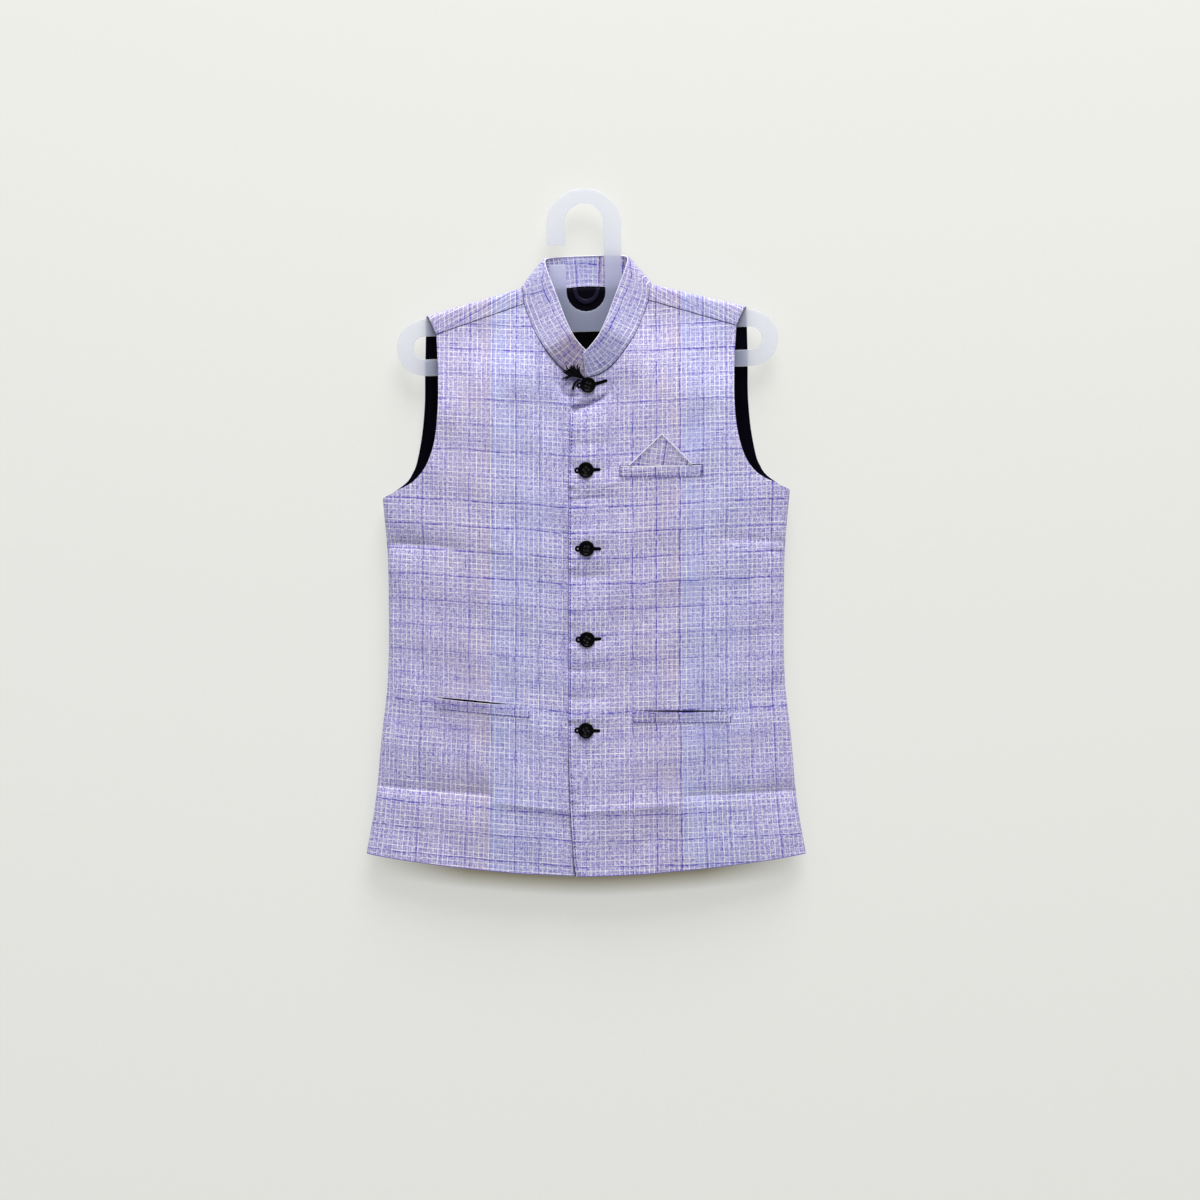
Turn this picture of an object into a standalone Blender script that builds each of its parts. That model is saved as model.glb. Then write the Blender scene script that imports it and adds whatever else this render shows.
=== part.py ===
"""Nehru jacket hanging closed on a flat one-piece plastic hanger.

The jacket is cut and sewn as two fronts (the wearer's left laps over the right), a back whose shoulders
fold over the hanger to a forward shoulder seam, a stand collar, a back lining, a chest welt with a folded
square, two lower welts and five buttons with a thread tassel on the top one.

Units are metres and +Z is up. The front faces -Y. The origin is the inside of the hanger's hook, where a
hook or a rod carries the whole thing. Cloth is worked out as if it hung dead level, in a frame whose x = 0
is the jacket's centre front, and hung() then leans it with the hanger.
"""

import math
from collections import namedtuple
from functools import lru_cache

import bmesh
import bpy
import numpy as np
from mathutils import Euler, Vector

# Cloth walls
FRONT_WALL = 0.0022  # shell, interlining and lining of a front, pressed together
BACK_WALL = 0.0018
COLLAR_WALL = 0.0022
LINING_WALL = 0.0008
TRIM_WALL = 0.0012  # welts and the folded square
SEAM_GAP = 0.0003
COLLAR_GAP = 0.0009
LINING_GAP = 0.0006
LAP_DEPTH = 0.0032  # how far the right front runs behind the left one
PROBE = 0.0010  # step for the slope of a surface

# Hanger
HANGER_THICK = 0.0036
HANGER_LEAN = math.radians(1.76)
ARM_SLOPE = math.radians(14.75)
END_X = 0.2035  # centre of each round end, from the middle
END_Z = -0.1745
END_RADIUS = 0.0350
BAR_SLOT_RADIUS = 0.0145
HOOK_SLOT_RADIUS = 0.02425
HOOK_SLOT_BOTTOM = -0.1352
HOOK_OUTER = (0.0470, 0.0445)  # half width and height of the hook's outer arch
HOOK_ARCH_Z = -0.0260
HOOK_TIP_Z = -0.0519
LEG_TOP_Z = -0.0755
LEG_OUTER_X = 0.0443
EDGE_ROUND = 0.0006

# Body of the jacket, one row for each level
Section = namedtuple("Section", "name z half_width front_depth back_depth")
BODY = [
    Section("hem", -0.8380, 0.2795, 0.0240, 0.0125),
    Section("hem fold", -0.7430, 0.2630, 0.0245, 0.0130),
    Section("pockets", -0.6650, 0.2558, 0.0245, 0.0135),
    Section("waist", -0.6000, 0.2487, 0.0240, 0.0135),
    Section("ribs", -0.5000, 0.2469, 0.0255, 0.0140),
    Section("chest", -0.4250, 0.2489, 0.0270, 0.0145),
    Section("underarm", -0.3630, 0.2545, 0.0275, 0.0145),
    Section("armhole", -0.2600, 0.2570, 0.0265, 0.0145),
    Section("shoulder", -0.0900, 0.2500, 0.0255, 0.0145),
]
FRONT_FULLNESS = 3.2  # exponents of the two half sections: a higher one is flatter, with rounder sides
BACK_FULLNESS = 10.0

CENTRE_X = 0.0038
LEAN = math.tan(HANGER_LEAN)
LEAN_FROM_Z, LEAN_TO_Z = -0.80, -0.10

HEM_CENTRE_Z = -0.8380
HEM_RISE = 0.0262
HEM_POWER = 1.6
BACK_HEM_Z = -0.8118
UNDERARM_Z = -0.3630
SEAM_NECK = (0.0780, -0.1240)  # shoulder seam, at the neck and at the armhole
SEAM_TIP = (0.1870, -0.1588)
RIDGE_RISE = BACK_WALL + 0.0008  # the cloth's outer fold, above the hanger's arm
FOLD_RADIUS = 0.0068
RIDGE_TIP_X = 0.2000
SHOULDER_EASE = 0.110  # how far below the seam the cloth reaches its full depth
NECK_EASE = 0.050
BACK_NECK_X = 0.0745  # where the back neckline meets the shoulder fold
BACK_NECK_Z = -0.1010

FRONT_ARMHOLE = [  # x, z from the underarm to the shoulder seam
    (0.2370, -0.3550), (0.2180, -0.3440), (0.2040, -0.3290), (0.1950, -0.3110),
    (0.1884, -0.2840), (0.1848, -0.2470), (0.1848, -0.2060), SEAM_TIP,
]
ARMHOLE_BASE = 3  # row of FRONT_ARMHOLE and BACK_ARMHOLE where the lower curve turns upright
ARMHOLE_MID = 6
BACK_ARMHOLE = [  # x, z from the underarm to the shoulder fold
    (0.2400, -0.3540), (0.2245, -0.3420), (0.2175, -0.3310), (0.2120, -0.3180),
    (0.2055, -0.2850), (0.2018, -0.2450), (0.2016, -0.2000),
]
NECKLINE = [  # x, z from the collar's front end to the shoulder seam
    (0.0000, -0.2215), (0.0165, -0.2170), (0.0325, -0.2060), (0.0455, -0.1910), (0.0555, -0.1760),
    (0.0633, -0.1620), (0.0690, -0.1480), (0.0738, -0.1360), SEAM_NECK,
]
NECK_TURN = 3  # row of NECKLINE where it turns from the front towards the shoulder

# Front edges, in each front's own x: z, x
OVER_EDGE = [
    (-0.8380, -0.0123), (-0.8150, -0.0155), (-0.7530, -0.0195), (-0.6700, -0.0222), (-0.4500, -0.0220),
    (-0.3300, -0.0215), (-0.2620, -0.0195), (-0.2380, -0.0176),
]
UNDER_EDGE = [(-0.8380, -0.0180), (-0.6700, -0.0200), (-0.4000, -0.0200), (-0.2320, -0.0160)]

# Packing folds across the fronts: the cloth dents outside FOLD_X and stands up inside it
FOLD_X = 0.115
HEM_FOLD_UP = 0.0765  # above the hem
CHEST_FOLD = (-0.4325, -0.4300)  # z at the centre front and at the side
Fold = namedtuple("Fold", "name height width dent")
HEM_FOLD = Fold("hem fold", 0.0060, 0.0080, 0.0022)  # step in height across FOLD_X, half width, depth
BREAST_FOLD = Fold("breast fold", 0.0050, 0.0070, 0.0014)

# Collar's top edge: share of the half seam from the centre back, x, y, z
CollarTop = namedtuple("CollarTop", "name share x y z")
COLLAR_TOP = [
    CollarTop("centre back", 0.00, 0.0000, 0.0155, -0.0630),
    CollarTop("back", 0.13, 0.0240, 0.0148, -0.0632),
    CollarTop("back turn", 0.25, 0.0405, 0.0122, -0.0645),
    CollarTop("corner", 0.33, 0.0490, 0.0072, -0.0662),
    CollarTop("shoulder fold", 0.39, 0.0520, 0.0005, -0.0700),
    CollarTop("shoulder seam", 0.46, 0.0488, -0.0070, -0.0840),
    CollarTop("throat high", 0.55, 0.0410, -0.0112, -0.1055),
    CollarTop("throat", 0.65, 0.0330, -0.0142, -0.1270),
    CollarTop("throat low", 0.75, 0.0250, -0.0170, -0.1485),
    CollarTop("lapped", 0.85, 0.0150, -0.0195, -0.1690),
    CollarTop("lapped low", 0.93, 0.0050, -0.0212, -0.1820),
    CollarTop("end", 1.00, -0.0030, -0.0222, -0.1905),
]

# Buttons and trims on the fronts
BUTTON_RADIUS = 0.0098
BUTTON_THICK = 0.0034
BUTTON_LIFT = 0.0007
BUTTON_SIDES = 24
ButtonPlace = namedtuple("ButtonPlace", "name x z")
BUTTONS = [
    ButtonPlace("button_1", 0.0022, -0.2300),
    ButtonPlace("button_2", -0.0003, -0.3350),
    ButtonPlace("button_3", 0.0003, -0.4320),
    ButtonPlace("button_4", 0.0010, -0.5445),
    ButtonPlace("button_5", -0.0003, -0.6570),
]
Welt = namedtuple("Welt", "name side left right height")  # left and right ends of the top edge, in front x, z
WELTS = [
    Welt("chest_welt", 1, (0.0420, -0.3315), (0.1430, -0.3330), 0.0135),
    Welt("lower_welt_left", 1, (0.0575, -0.6330), (0.1800, -0.6340), 0.0150),
    Welt("lower_welt_right", -1, (0.0700, -0.6270), (0.1885, -0.6150), 0.0150),
]
SQUARE_BASE = (0.0530, 0.1310)  # x of the folded square's foot, on top of the chest welt
SQUARE_PEAK = (0.0930, -0.2935)
TRIM_LIFT = 0.0004

LINING_HEM, LINING_ARMHOLE, LINING_TOP = 0.45, 0.20, 0.10  # shares of a cell that the lining stops short
LINING_SIDE = 0.10
SEAM_LIMIT = 1 - SEAM_GAP / 2 / 0.27  # share of a half section that a panel fills

LABEL_X, LABEL_Z = (-0.0340, 0.0400), (-0.2020, -0.1480)
LABEL_WALL = 0.0006
LOOP_HALF, LOOP_DROP, LOOP_WIDTH = 0.0170, 0.0200, 0.0050

TASSEL_ROOT = (-0.0019, -0.2222)  # x, z, a thread off the top button's rim
TASSEL_LIFT = 0.0004
TASSEL_FAN = (math.radians(112), math.radians(176))  # the head's first and last side, from +X
TASSEL_HEAD = (0.0022, 0.0075)  # inner and outer radius of the head
TASSEL_THICK = 0.0030
FAN_STRANDS, STRAND_LAYERS = 6, 2
Strand = namedtuple("Strand", "name share length bend")  # share of the fan, length, sideways bend per joint
STRANDS = [
    Strand("upper", 0.00, 0.0075, -0.10),
    Strand("upper middle", 0.35, 0.0125, 0.06),
    Strand("lower middle", 0.70, 0.0180, -0.05),
    Strand("lower", 0.90, 0.0190, 0.08),
    Strand("tail", 1.00, 0.0200, 0.55),
]

COLOURS = {  # name: colour, roughness
    "lavender check": ((0.42, 0.40, 0.60, 1), 0.85),
    "black lining": ((0.008, 0.007, 0.016, 1), 0.5),
    "black button": ((0.006, 0.006, 0.007, 1), 0.25),
    "black thread": ((0.005, 0.005, 0.006, 1), 0.8),
    "milky plastic": ((0.78, 0.79, 0.83, 1), 0.4),
}


def ease(t):
    """Smooth step from 0 to 1."""
    t = min(1.0, max(0.0, t))
    return t * t * (3 - 2 * t)


def through(points, count, start=None, end=None):
    """count + 1 points at even steps along a smooth curve through the given points, or along part of it."""
    p = np.array(points, float)
    tangents = np.gradient(p, axis=0)
    fine = []
    for a, b, ta, tb in zip(p, p[1:], tangents, tangents[1:]):
        t = np.linspace(0, 1, 33)[:, None]
        fine.append((2 * t**3 - 3 * t**2 + 1) * a + (t**3 - 2 * t**2 + t) * ta
                    + (3 * t**2 - 2 * t**3) * b + (t**3 - t**2) * tb)
    fine = np.concatenate([fine[0]] + [f[1:] for f in fine[1:]])
    walked = np.concatenate([[0], np.cumsum(np.linalg.norm(np.diff(fine, axis=0), axis=1))])
    marks = walked[:: 32]
    first = marks[start or 0]
    last = marks[len(points) - 1 if end is None else end]
    at = np.linspace(first, last, count + 1)
    return np.stack([np.interp(at, walked, fine[:, k]) for k in range(p.shape[1])], axis=1)


def table(rows, key, value):
    """A smooth function through a table's rows, of the column key."""
    knots = np.array([getattr(r, key) for r in rows])
    values = np.array([getattr(r, value) for r in rows])
    order = np.argsort(knots)
    knots, values = knots[order], values[order]
    slopes = np.gradient(values, knots)

    def at(x):
        x = min(max(x, knots[0]), knots[-1])
        i = min(int(np.searchsorted(knots, x, side="right")) - 1, len(knots) - 2)
        span = knots[i + 1] - knots[i]
        t = (x - knots[i]) / span
        return float((2 * t**3 - 3 * t**2 + 1) * values[i] + (t**3 - 2 * t**2 + t) * span * slopes[i]
                     + (3 * t**2 - 2 * t**3) * values[i + 1] + (t**3 - t**2) * span * slopes[i + 1])

    return at


half_width = table(BODY, "z", "half_width")
front_depth = table(BODY, "z", "front_depth")
back_depth = table(BODY, "z", "back_depth")


@lru_cache(maxsize=None)
def half_section(z, fullness, depth):
    """The half section at height z as (share of its length, share of its width), each from 0 to 1."""
    s = 1 - (1 - np.linspace(0, 1, 481)) ** 2.4
    x = half_width(z) * s
    y = depth * np.sqrt(np.maximum(0, 1 - s**fullness))
    walked = np.concatenate([[0], np.cumsum(np.hypot(np.diff(x), np.diff(y)))])
    return walked / walked[-1], s


def arm_z(x):
    """Top of the hanger's arm."""
    return END_Z + END_RADIUS / math.cos(ARM_SLOPE) + math.tan(ARM_SLOPE) * (END_X - abs(x))


def fold_z(x):
    """Centre line of the shoulder fold."""
    return arm_z(x) + RIDGE_RISE - FOLD_RADIUS


def seam_z(x):
    """The forward shoulder seam."""
    slope = (SEAM_TIP[1] - SEAM_NECK[1]) / (SEAM_TIP[0] - SEAM_NECK[0])
    return SEAM_NECK[1] + slope * (abs(x) - SEAM_NECK[0])


def hem_z(x):
    return HEM_CENTRE_Z + HEM_RISE * (abs(x) / half_width(BACK_HEM_Z)) ** HEM_POWER


def packing_folds(x, z):
    """How far the front's packing folds stand out (dents are negative)."""
    outside = ease((abs(x) - FOLD_X) / 0.012 + 0.5)
    out = 0.0
    chest = CHEST_FOLD[0] + (CHEST_FOLD[1] - CHEST_FOLD[0]) * abs(x) / half_width(z)
    for fold, level in ((HEM_FOLD, hem_z(x) + HEM_FOLD_UP), (BREAST_FOLD, chest)):
        dent = math.exp(-(((z - level) / fold.width) ** 2))
        ridge = math.exp(-(((z - level - fold.height) / fold.width) ** 2))
        out += fold.dent * ((1 - outside) * 0.7 * ridge * ease(abs(x) / 0.03) - outside * dent)
    return out


def front_x(side, g, z):
    """x of the front at share g of the half section; g below 0 is past the centre front."""
    share, width = half_section(round(z, 5), FRONT_FULLNESS, round(front_depth(z), 6))
    return math.copysign(float(np.interp(abs(g), share, width)), g) * half_width(z)


def front_g(x, z):
    """Inverse of front_x."""
    share, width = half_section(round(z, 5), FRONT_FULLNESS, round(front_depth(z), 6))
    return math.copysign(float(np.interp(abs(x) / half_width(z), width, share)), x)


def front_point(side, g, z):
    """The outer face of a front. side is 1 for the wearer's left front, which laps over the other."""
    x = front_x(side, g, z)
    s = min(1.0, abs(x) / half_width(z))
    full = front_depth(z) * math.sqrt(max(0.0, 1 - s**FRONT_FULLNESS))
    below_seam = ease((seam_z(x) - z) / SHOULDER_EASE)
    near_neck = ease((SEAM_NECK[0] - abs(x)) / NECK_EASE)
    share = 1 - (1 - below_seam) * (1 - near_neck)
    depth = FOLD_RADIUS + (full - FOLD_RADIUS) * share + packing_folds(x, z) * math.sqrt(max(0, 1 - s**6))
    if side < 0:
        depth -= LAP_DEPTH * ease((0.085 - x) / 0.055)
    return Vector((side * x, -depth, z))


def back_x(g, q):
    share, width = half_section(round(min(q, fold_z(0)), 5), BACK_FULLNESS, round(back_depth(q), 6))
    return math.copysign(float(np.interp(abs(g), share, width)), g) * half_width(min(q, fold_z(0)))


def back_g(x, q):
    share, width = half_section(round(min(q, fold_z(0)), 5), BACK_FULLNESS, round(back_depth(q), 6))
    return math.copysign(float(np.interp(abs(x) / half_width(min(q, fold_z(0))), width, share)), x)


def back_point(g, q):
    """The outer face of the back. q is the height up the cloth, which past the fold runs down the front."""
    x = back_x(g, q)
    centre = fold_z(x)
    past = q - centre
    if past <= 0:
        s = min(1.0, abs(x) / half_width(q))
        full = back_depth(q) * math.sqrt(max(0.0, 1 - s**BACK_FULLNESS))
        near_neck = ease((BACK_NECK_X - abs(x)) / NECK_EASE)
        share = 1 - (1 - ease(-past / SHOULDER_EASE)) * (1 - near_neck)
        return Vector((x, FOLD_RADIUS + (full - FOLD_RADIUS) * share, q))
    if past <= math.pi * FOLD_RADIUS:
        turn = past / FOLD_RADIUS
        return Vector((x, FOLD_RADIUS * math.cos(turn), centre + FOLD_RADIUS * math.sin(turn)))
    return Vector((x, -FOLD_RADIUS, centre - (past - math.pi * FOLD_RADIUS)))


def seam_q(x):
    """Height up the back's cloth at the shoulder seam."""
    return 2 * fold_z(x) + math.pi * FOLD_RADIUS - seam_z(x)


def hung(point):
    """Leans a point of the jacket with the hanger."""
    lean = LEAN * ease((point.z - LEAN_FROM_Z) / (LEAN_TO_Z - LEAN_FROM_Z))
    return Vector((point.x + CENTRE_X, point.y, point.z + lean * point.x))


def wall_pair(surface, a, b, wall, out):
    """Outer and inner point of a wall on surface(a, b). out is -1 where the surface's own normal faces in."""
    a0, a1 = max(-1.0, a - PROBE), min(1.0, a + PROBE)
    normal = (surface(a1, b) - surface(a0, b)).cross(surface(a, b + PROBE) - surface(a, b - PROBE))
    point = surface(a, b)
    return hung(point), hung(point - normal.normalized() * out * wall)


def coons(bottom, top, left, right):
    """A grid of flat points between four edges, each a list; rows run from bottom to top."""
    bottom, top, left, right = (np.array(e, float) for e in (bottom, top, left, right))

    def shares(first, second):
        steps = [np.linalg.norm(np.diff(e, axis=0), axis=1) + 1e-9 for e in (first, second)]
        walked = [np.concatenate([[0], np.cumsum(s)]) / s.sum() for s in steps]
        return (walked[0] + walked[1]) / 2

    a = shares(bottom, top)[None, :, None]
    b = shares(left, right)[:, None, None]
    corners = (1 - a) * (1 - b) * bottom[0] + a * (1 - b) * bottom[-1] + (1 - a) * b * top[0] + a * b * top[-1]
    grid = (1 - b) * bottom + b * top + (1 - a) * left[:, None] + a * right[:, None] - corners
    return np.round(grid, 7)


class Cloth:
    """A wall of cloth gathered from grids of paired outer and inner points that share their common edges."""

    def __init__(self):
        self.found = {}
        self.outer = []
        self.inner = []
        self.faces = []

    def point(self, both):
        key = tuple(round(c, 6) for c in both[0])
        if key not in self.found:
            self.found[key] = len(self.outer)
            self.outer.append(both[0])
            self.inner.append(both[1])
        return self.found[key]

    def grid(self, rows, flip=False):
        ids = [[self.point(both) for both in row] for row in rows]
        for low, high in zip(ids, ids[1:]):
            for i in range(len(low) - 1):
                face = [low[i], low[i + 1], high[i + 1], high[i]]
                face = [v for n, v in enumerate(face) if v != face[n - 1]]
                self.faces.append(face[::-1] if flip else face)
        return self

    def build(self, name, colour):
        count = len(self.outer)
        edges = {(f[k - 1], f[k]) for f in self.faces for k in range(len(f))}
        rim = [(b, a, a + count, b + count) for a, b in edges if (b, a) not in edges]
        inside = [tuple(v + count for v in reversed(f)) for f in self.faces]
        mesh = bpy.data.meshes.new(name)
        mesh.from_pydata(self.outer + self.inner, [], [tuple(f) for f in self.faces] + inside + rim)
        return show(name, mesh, colour)


def show(name, mesh, colour, smooth=True):
    """Puts a mesh in the scene as a named object with its material."""
    mesh.update()
    if smooth:
        mesh.shade_smooth()
        mesh.set_sharp_from_angle(angle=math.radians(40))
    obj = bpy.data.objects.new(name, mesh)
    bpy.context.scene.collection.objects.link(obj)
    obj.data.materials.append(material(colour))
    return obj


def material(name):
    if name in bpy.data.materials:
        return bpy.data.materials[name]
    made = bpy.data.materials.new(name)
    made.use_nodes = True
    shader = made.node_tree.nodes["Principled BSDF"]
    shader.inputs["Base Color"].default_value, shader.inputs["Roughness"].default_value = COLOURS[name]
    return made


def uneven(start, end, count):
    """count + 1 steps from start to end, closer together at both ends."""
    return [start + (end - start) * (1 - math.cos(math.pi * k / count)) / 2 for k in range(count + 1)]


NECK_COLUMNS, SHOULDER_COLUMNS, UNDERARM_COLUMNS = 4, 9, 4
HEM_ROWS, SIDE_ROWS, BREAST_ROWS, ARMHOLE_ROWS, SHOULDER_ROWS = 4, 13, 5, 6, 5
BACK_NECK_COLUMNS, BACK_ROWS, BLADE_ROWS, FOLD_ROWS = 10, 15, 9, 13


def front_neckline():
    """The neckline's points on a front, from the collar's end to the shoulder seam."""
    low = through(NECKLINE, NECK_COLUMNS, 0, NECK_TURN)
    high = through(NECKLINE, SHOULDER_ROWS, NECK_TURN)
    return np.concatenate([low, high[1:]])


def front_grids(edge):
    """Three grids of (x, z) for a front: below the armhole, beside it, and up to the shoulder seam."""
    edge_x = np.array(edge)
    corner = edge[-1][::-1]
    base = through([(half_width(UNDERARM_Z), UNDERARM_Z), *FRONT_ARMHOLE], UNDERARM_COLUMNS, 0, ARMHOLE_BASE + 1)
    armhole = through(FRONT_ARMHOLE, ARMHOLE_ROWS, ARMHOLE_BASE, ARMHOLE_MID)
    tip = through(FRONT_ARMHOLE, SHOULDER_ROWS, ARMHOLE_MID)
    neck = front_neckline()
    turn = neck[NECK_COLUMNS]
    breast_z = -0.3150

    def edge_point(z):
        return np.array([np.interp(z, edge_x[:, 0], edge_x[:, 1]), z])

    low_left = [edge_point(z) for z in uneven(HEM_CENTRE_Z, hem_z(0) + HEM_FOLD_UP, HEM_ROWS)]
    low_left += [edge_point(z) for z in uneven(hem_z(0) + HEM_FOLD_UP, CHEST_FOLD[0], SIDE_ROWS)][1:]
    low_left += [edge_point(z) for z in np.linspace(CHEST_FOLD[0], breast_z, BREAST_ROWS + 1)][1:]
    sides = uneven(BACK_HEM_Z, BACK_HEM_Z + HEM_FOLD_UP, HEM_ROWS)
    sides += uneven(BACK_HEM_Z + HEM_FOLD_UP, CHEST_FOLD[1], SIDE_ROWS)[1:]
    sides += list(np.linspace(CHEST_FOLD[1], UNDERARM_Z, BREAST_ROWS + 1))[1:]
    low_right = [np.array([half_width(z), z]) for z in sides]

    columns = NECK_COLUMNS + 1 + SHOULDER_COLUMNS + UNDERARM_COLUMNS
    across = [k / columns for k in range(columns + 1)]
    bottom = []
    for a in across:
        x = edge_point(HEM_CENTRE_Z)[0] + (half_width(BACK_HEM_Z) - edge_point(HEM_CENTRE_Z)[0]) * (1 - (1 - a) ** 1.25)
        bottom.append(np.array([x, hem_z(x)]))
    bottom[0][1] = low_left[0][1]
    mid_count = NECK_COLUMNS + 1 + SHOULDER_COLUMNS
    breast = np.linspace(low_left[-1], base[-1], mid_count + 1)
    top = np.concatenate([breast, base[::-1][1:]])
    lower = coons(bottom, top, low_left, low_right)

    upper_left = [edge_point(z) for z in np.linspace(breast_z, corner[1], ARMHOLE_ROWS + 1)]
    bridge = np.linspace(turn, armhole[-1], SHOULDER_COLUMNS + 1)
    upper_top = np.concatenate([[corner], neck[: NECK_COLUMNS + 1], bridge[1:]])
    upper = coons(breast, upper_top, upper_left, armhole)

    seam = np.linspace(SEAM_NECK, SEAM_TIP, SHOULDER_COLUMNS + 1)
    crown = coons(bridge, seam, neck[NECK_COLUMNS:], tip)
    return lower, upper, crown


def on_front(side, x, z):
    """Outer and inner point of a front at flat place (x, z), kept off the side and shoulder seams."""
    g = min(front_g(x, z), SEAM_LIMIT)
    z = min(z, seam_z(x) - SEAM_GAP / 2)
    return wall_pair(lambda a, b: front_point(side, a, b), g, z, FRONT_WALL, side)


def build_front(name, side, edge):
    cloth = Cloth()
    for grid in front_grids(edge):
        cloth.grid([[on_front(side, x, z) for x, z in row] for row in grid], flip=side < 0)
    return cloth.build(name, "lavender check")


def back_neck_side():
    """The neckline's flat points over the shoulder fold, from the back to the shoulder seam."""
    ridge_x = 0.0795
    path = [
        (BACK_NECK_X, fold_z(BACK_NECK_X)),
        (ridge_x, fold_z(ridge_x) + math.pi / 2 * FOLD_RADIUS),
        (SEAM_NECK[0] + 0.0008, fold_z(SEAM_NECK[0]) + math.pi * FOLD_RADIUS),
        (SEAM_NECK[0], seam_q(SEAM_NECK[0])),
    ]
    return through(path, FOLD_ROWS)


def back_neckline():
    """The back neckline's flat points from left to right."""
    half = [(BACK_NECK_X, fold_z(BACK_NECK_X)), (0.0550, -0.1062), (0.0300, -0.1030), (0.0, BACK_NECK_Z)]
    whole = [(-x, z) for x, z in half] + half[-2::-1]
    return through(whole, BACK_NECK_COLUMNS)


def back_grids():
    """Flat grids of the back: below the armholes, between them, and over each shoulder."""
    corner = (half_width(UNDERARM_Z), UNDERARM_Z)
    base = through([corner, *BACK_ARMHOLE], UNDERARM_COLUMNS, 0, ARMHOLE_BASE + 1)
    blade = through([*BACK_ARMHOLE, (RIDGE_TIP_X + 0.0008, fold_z(RIDGE_TIP_X))], BLADE_ROWS, ARMHOLE_BASE)
    turn_q = fold_z(RIDGE_TIP_X) + math.pi / 2 * FOLD_RADIUS
    tip = through([tuple(blade[-1]), (RIDGE_TIP_X, turn_q), (0.1945, turn_q + 0.014),
                   (SEAM_TIP[0], seam_q(SEAM_TIP[0]))], FOLD_ROWS)
    neck = back_neckline()

    def mirrored(points):
        return np.array(points)[::-1] * (-1, 1)

    side = [np.array([half_width(z), z]) for z in np.linspace(BACK_HEM_Z, UNDERARM_Z, BACK_ROWS + 1)]
    columns = 2 * (UNDERARM_COLUMNS + SHOULDER_COLUMNS) + BACK_NECK_COLUMNS
    hem_half = half_width(BACK_HEM_Z)
    bottom = [np.array([hem_half * math.copysign(1 - (1 - abs(t)) ** 1.25, t), BACK_HEM_Z])
              for t in np.linspace(-1, 1, columns + 1)]
    middle_count = 2 * SHOULDER_COLUMNS + BACK_NECK_COLUMNS
    middle = np.linspace(base[-1] * (-1, 1), base[-1], middle_count + 1)
    lower = coons(bottom, np.concatenate([base * (-1, 1), middle[1:], base[::-1][1:]]),
                  np.array(side) * (-1, 1), side)

    fold = np.array([(x, fold_z(x)) for x in np.linspace(BACK_NECK_X, blade[-1][0], SHOULDER_COLUMNS + 1)])
    fold[-1] = blade[-1]
    top = np.concatenate([mirrored(fold), neck[1:-1], fold])
    upper = coons(middle, top, blade * (-1, 1), blade)

    seam = np.array([(x, seam_q(x)) for x in np.linspace(SEAM_NECK[0], SEAM_TIP[0], SHOULDER_COLUMNS + 1)])
    strap = coons(fold, seam, back_neck_side(), tip)
    return lower, upper, strap


def on_back(x, q):
    """Outer and inner point of the back at flat place (x, q), kept off the side and shoulder seams."""
    g = max(-SEAM_LIMIT, min(SEAM_LIMIT, back_g(x, q)))
    if q > fold_z(x):
        q = min(q, seam_q(x) - SEAM_GAP / 2)
    return wall_pair(back_point, g, q, BACK_WALL, -1)


def build_back():
    cloth = Cloth()
    lower, upper, strap = back_grids()
    for grid in (lower, upper, strap):
        cloth.grid([[on_back(x, q) for x, q in row] for row in grid], flip=True)
    cloth.grid([[on_back(-x, q) for x, q in row] for row in strap])
    return cloth.build("back", "lavender check")


def inside_back(x, z, gap, wall):
    """Outer and inner point of a thin piece laid against the back's inner face."""
    outer, inner = on_back(x, z)
    inward = (inner - outer).normalized()
    return inner + inward * gap, inner + inward * (gap + wall)


def trim(pair, towards, share):
    """Moves a pair of wall points a share of the way to the next pair."""
    return pair[0].lerp(towards[0], share), pair[1].lerp(towards[1], share)


def build_lining():
    """The back's black lining, just inside it and short of its hem, armholes and shoulder folds."""
    lower, upper = [[[inside_back(x, z, LINING_GAP, LINING_WALL) for x, z in row] for row in grid]
                    for grid in back_grids()[:2]]
    for row in lower:
        row[0], row[-1] = trim(row[0], row[1], LINING_SIDE), trim(row[-1], row[-2], LINING_SIDE)
    lower[0] = [trim(here, above, LINING_HEM) for here, above in zip(lower[0], lower[1])]
    upper[-1] = [trim(here, below, LINING_TOP) for here, below in zip(upper[-1], upper[-2])]
    for column in [*range(1, UNDERARM_COLUMNS), *range(-UNDERARM_COLUMNS, -1)]:
        lower[-1][column] = trim(lower[-1][column], lower[-2][column], LINING_ARMHOLE)
    for row in upper:
        row[0], row[-1] = trim(row[0], row[1], LINING_ARMHOLE), trim(row[-1], row[-2], LINING_ARMHOLE)
    lower[-1][UNDERARM_COLUMNS], lower[-1][-1 - UNDERARM_COLUMNS] = upper[0][0], upper[0][-1]
    cloth = Cloth()
    cloth.grid(lower, flip=True)
    cloth.grid(upper, flip=True)
    return cloth.build("back_lining", "black lining")


def neck_seam():
    """The collar's seam, flat place by place: points of the panels from the under end to the over end."""
    front = front_neckline()
    side = back_neck_side()
    right = [on_front(1, x, z)[0] for x, z in front]
    right += [on_back(x, q)[0] for x, q in side[::-1][1:]]
    left = [on_front(-1, x, z)[0] for x, z in front]
    left += [on_back(-x, q)[0] for x, q in side[::-1][1:]]
    back = [on_back(x, q)[0] for x, q in back_neckline()]
    return left + back[1:-1] + right[::-1]


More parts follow.
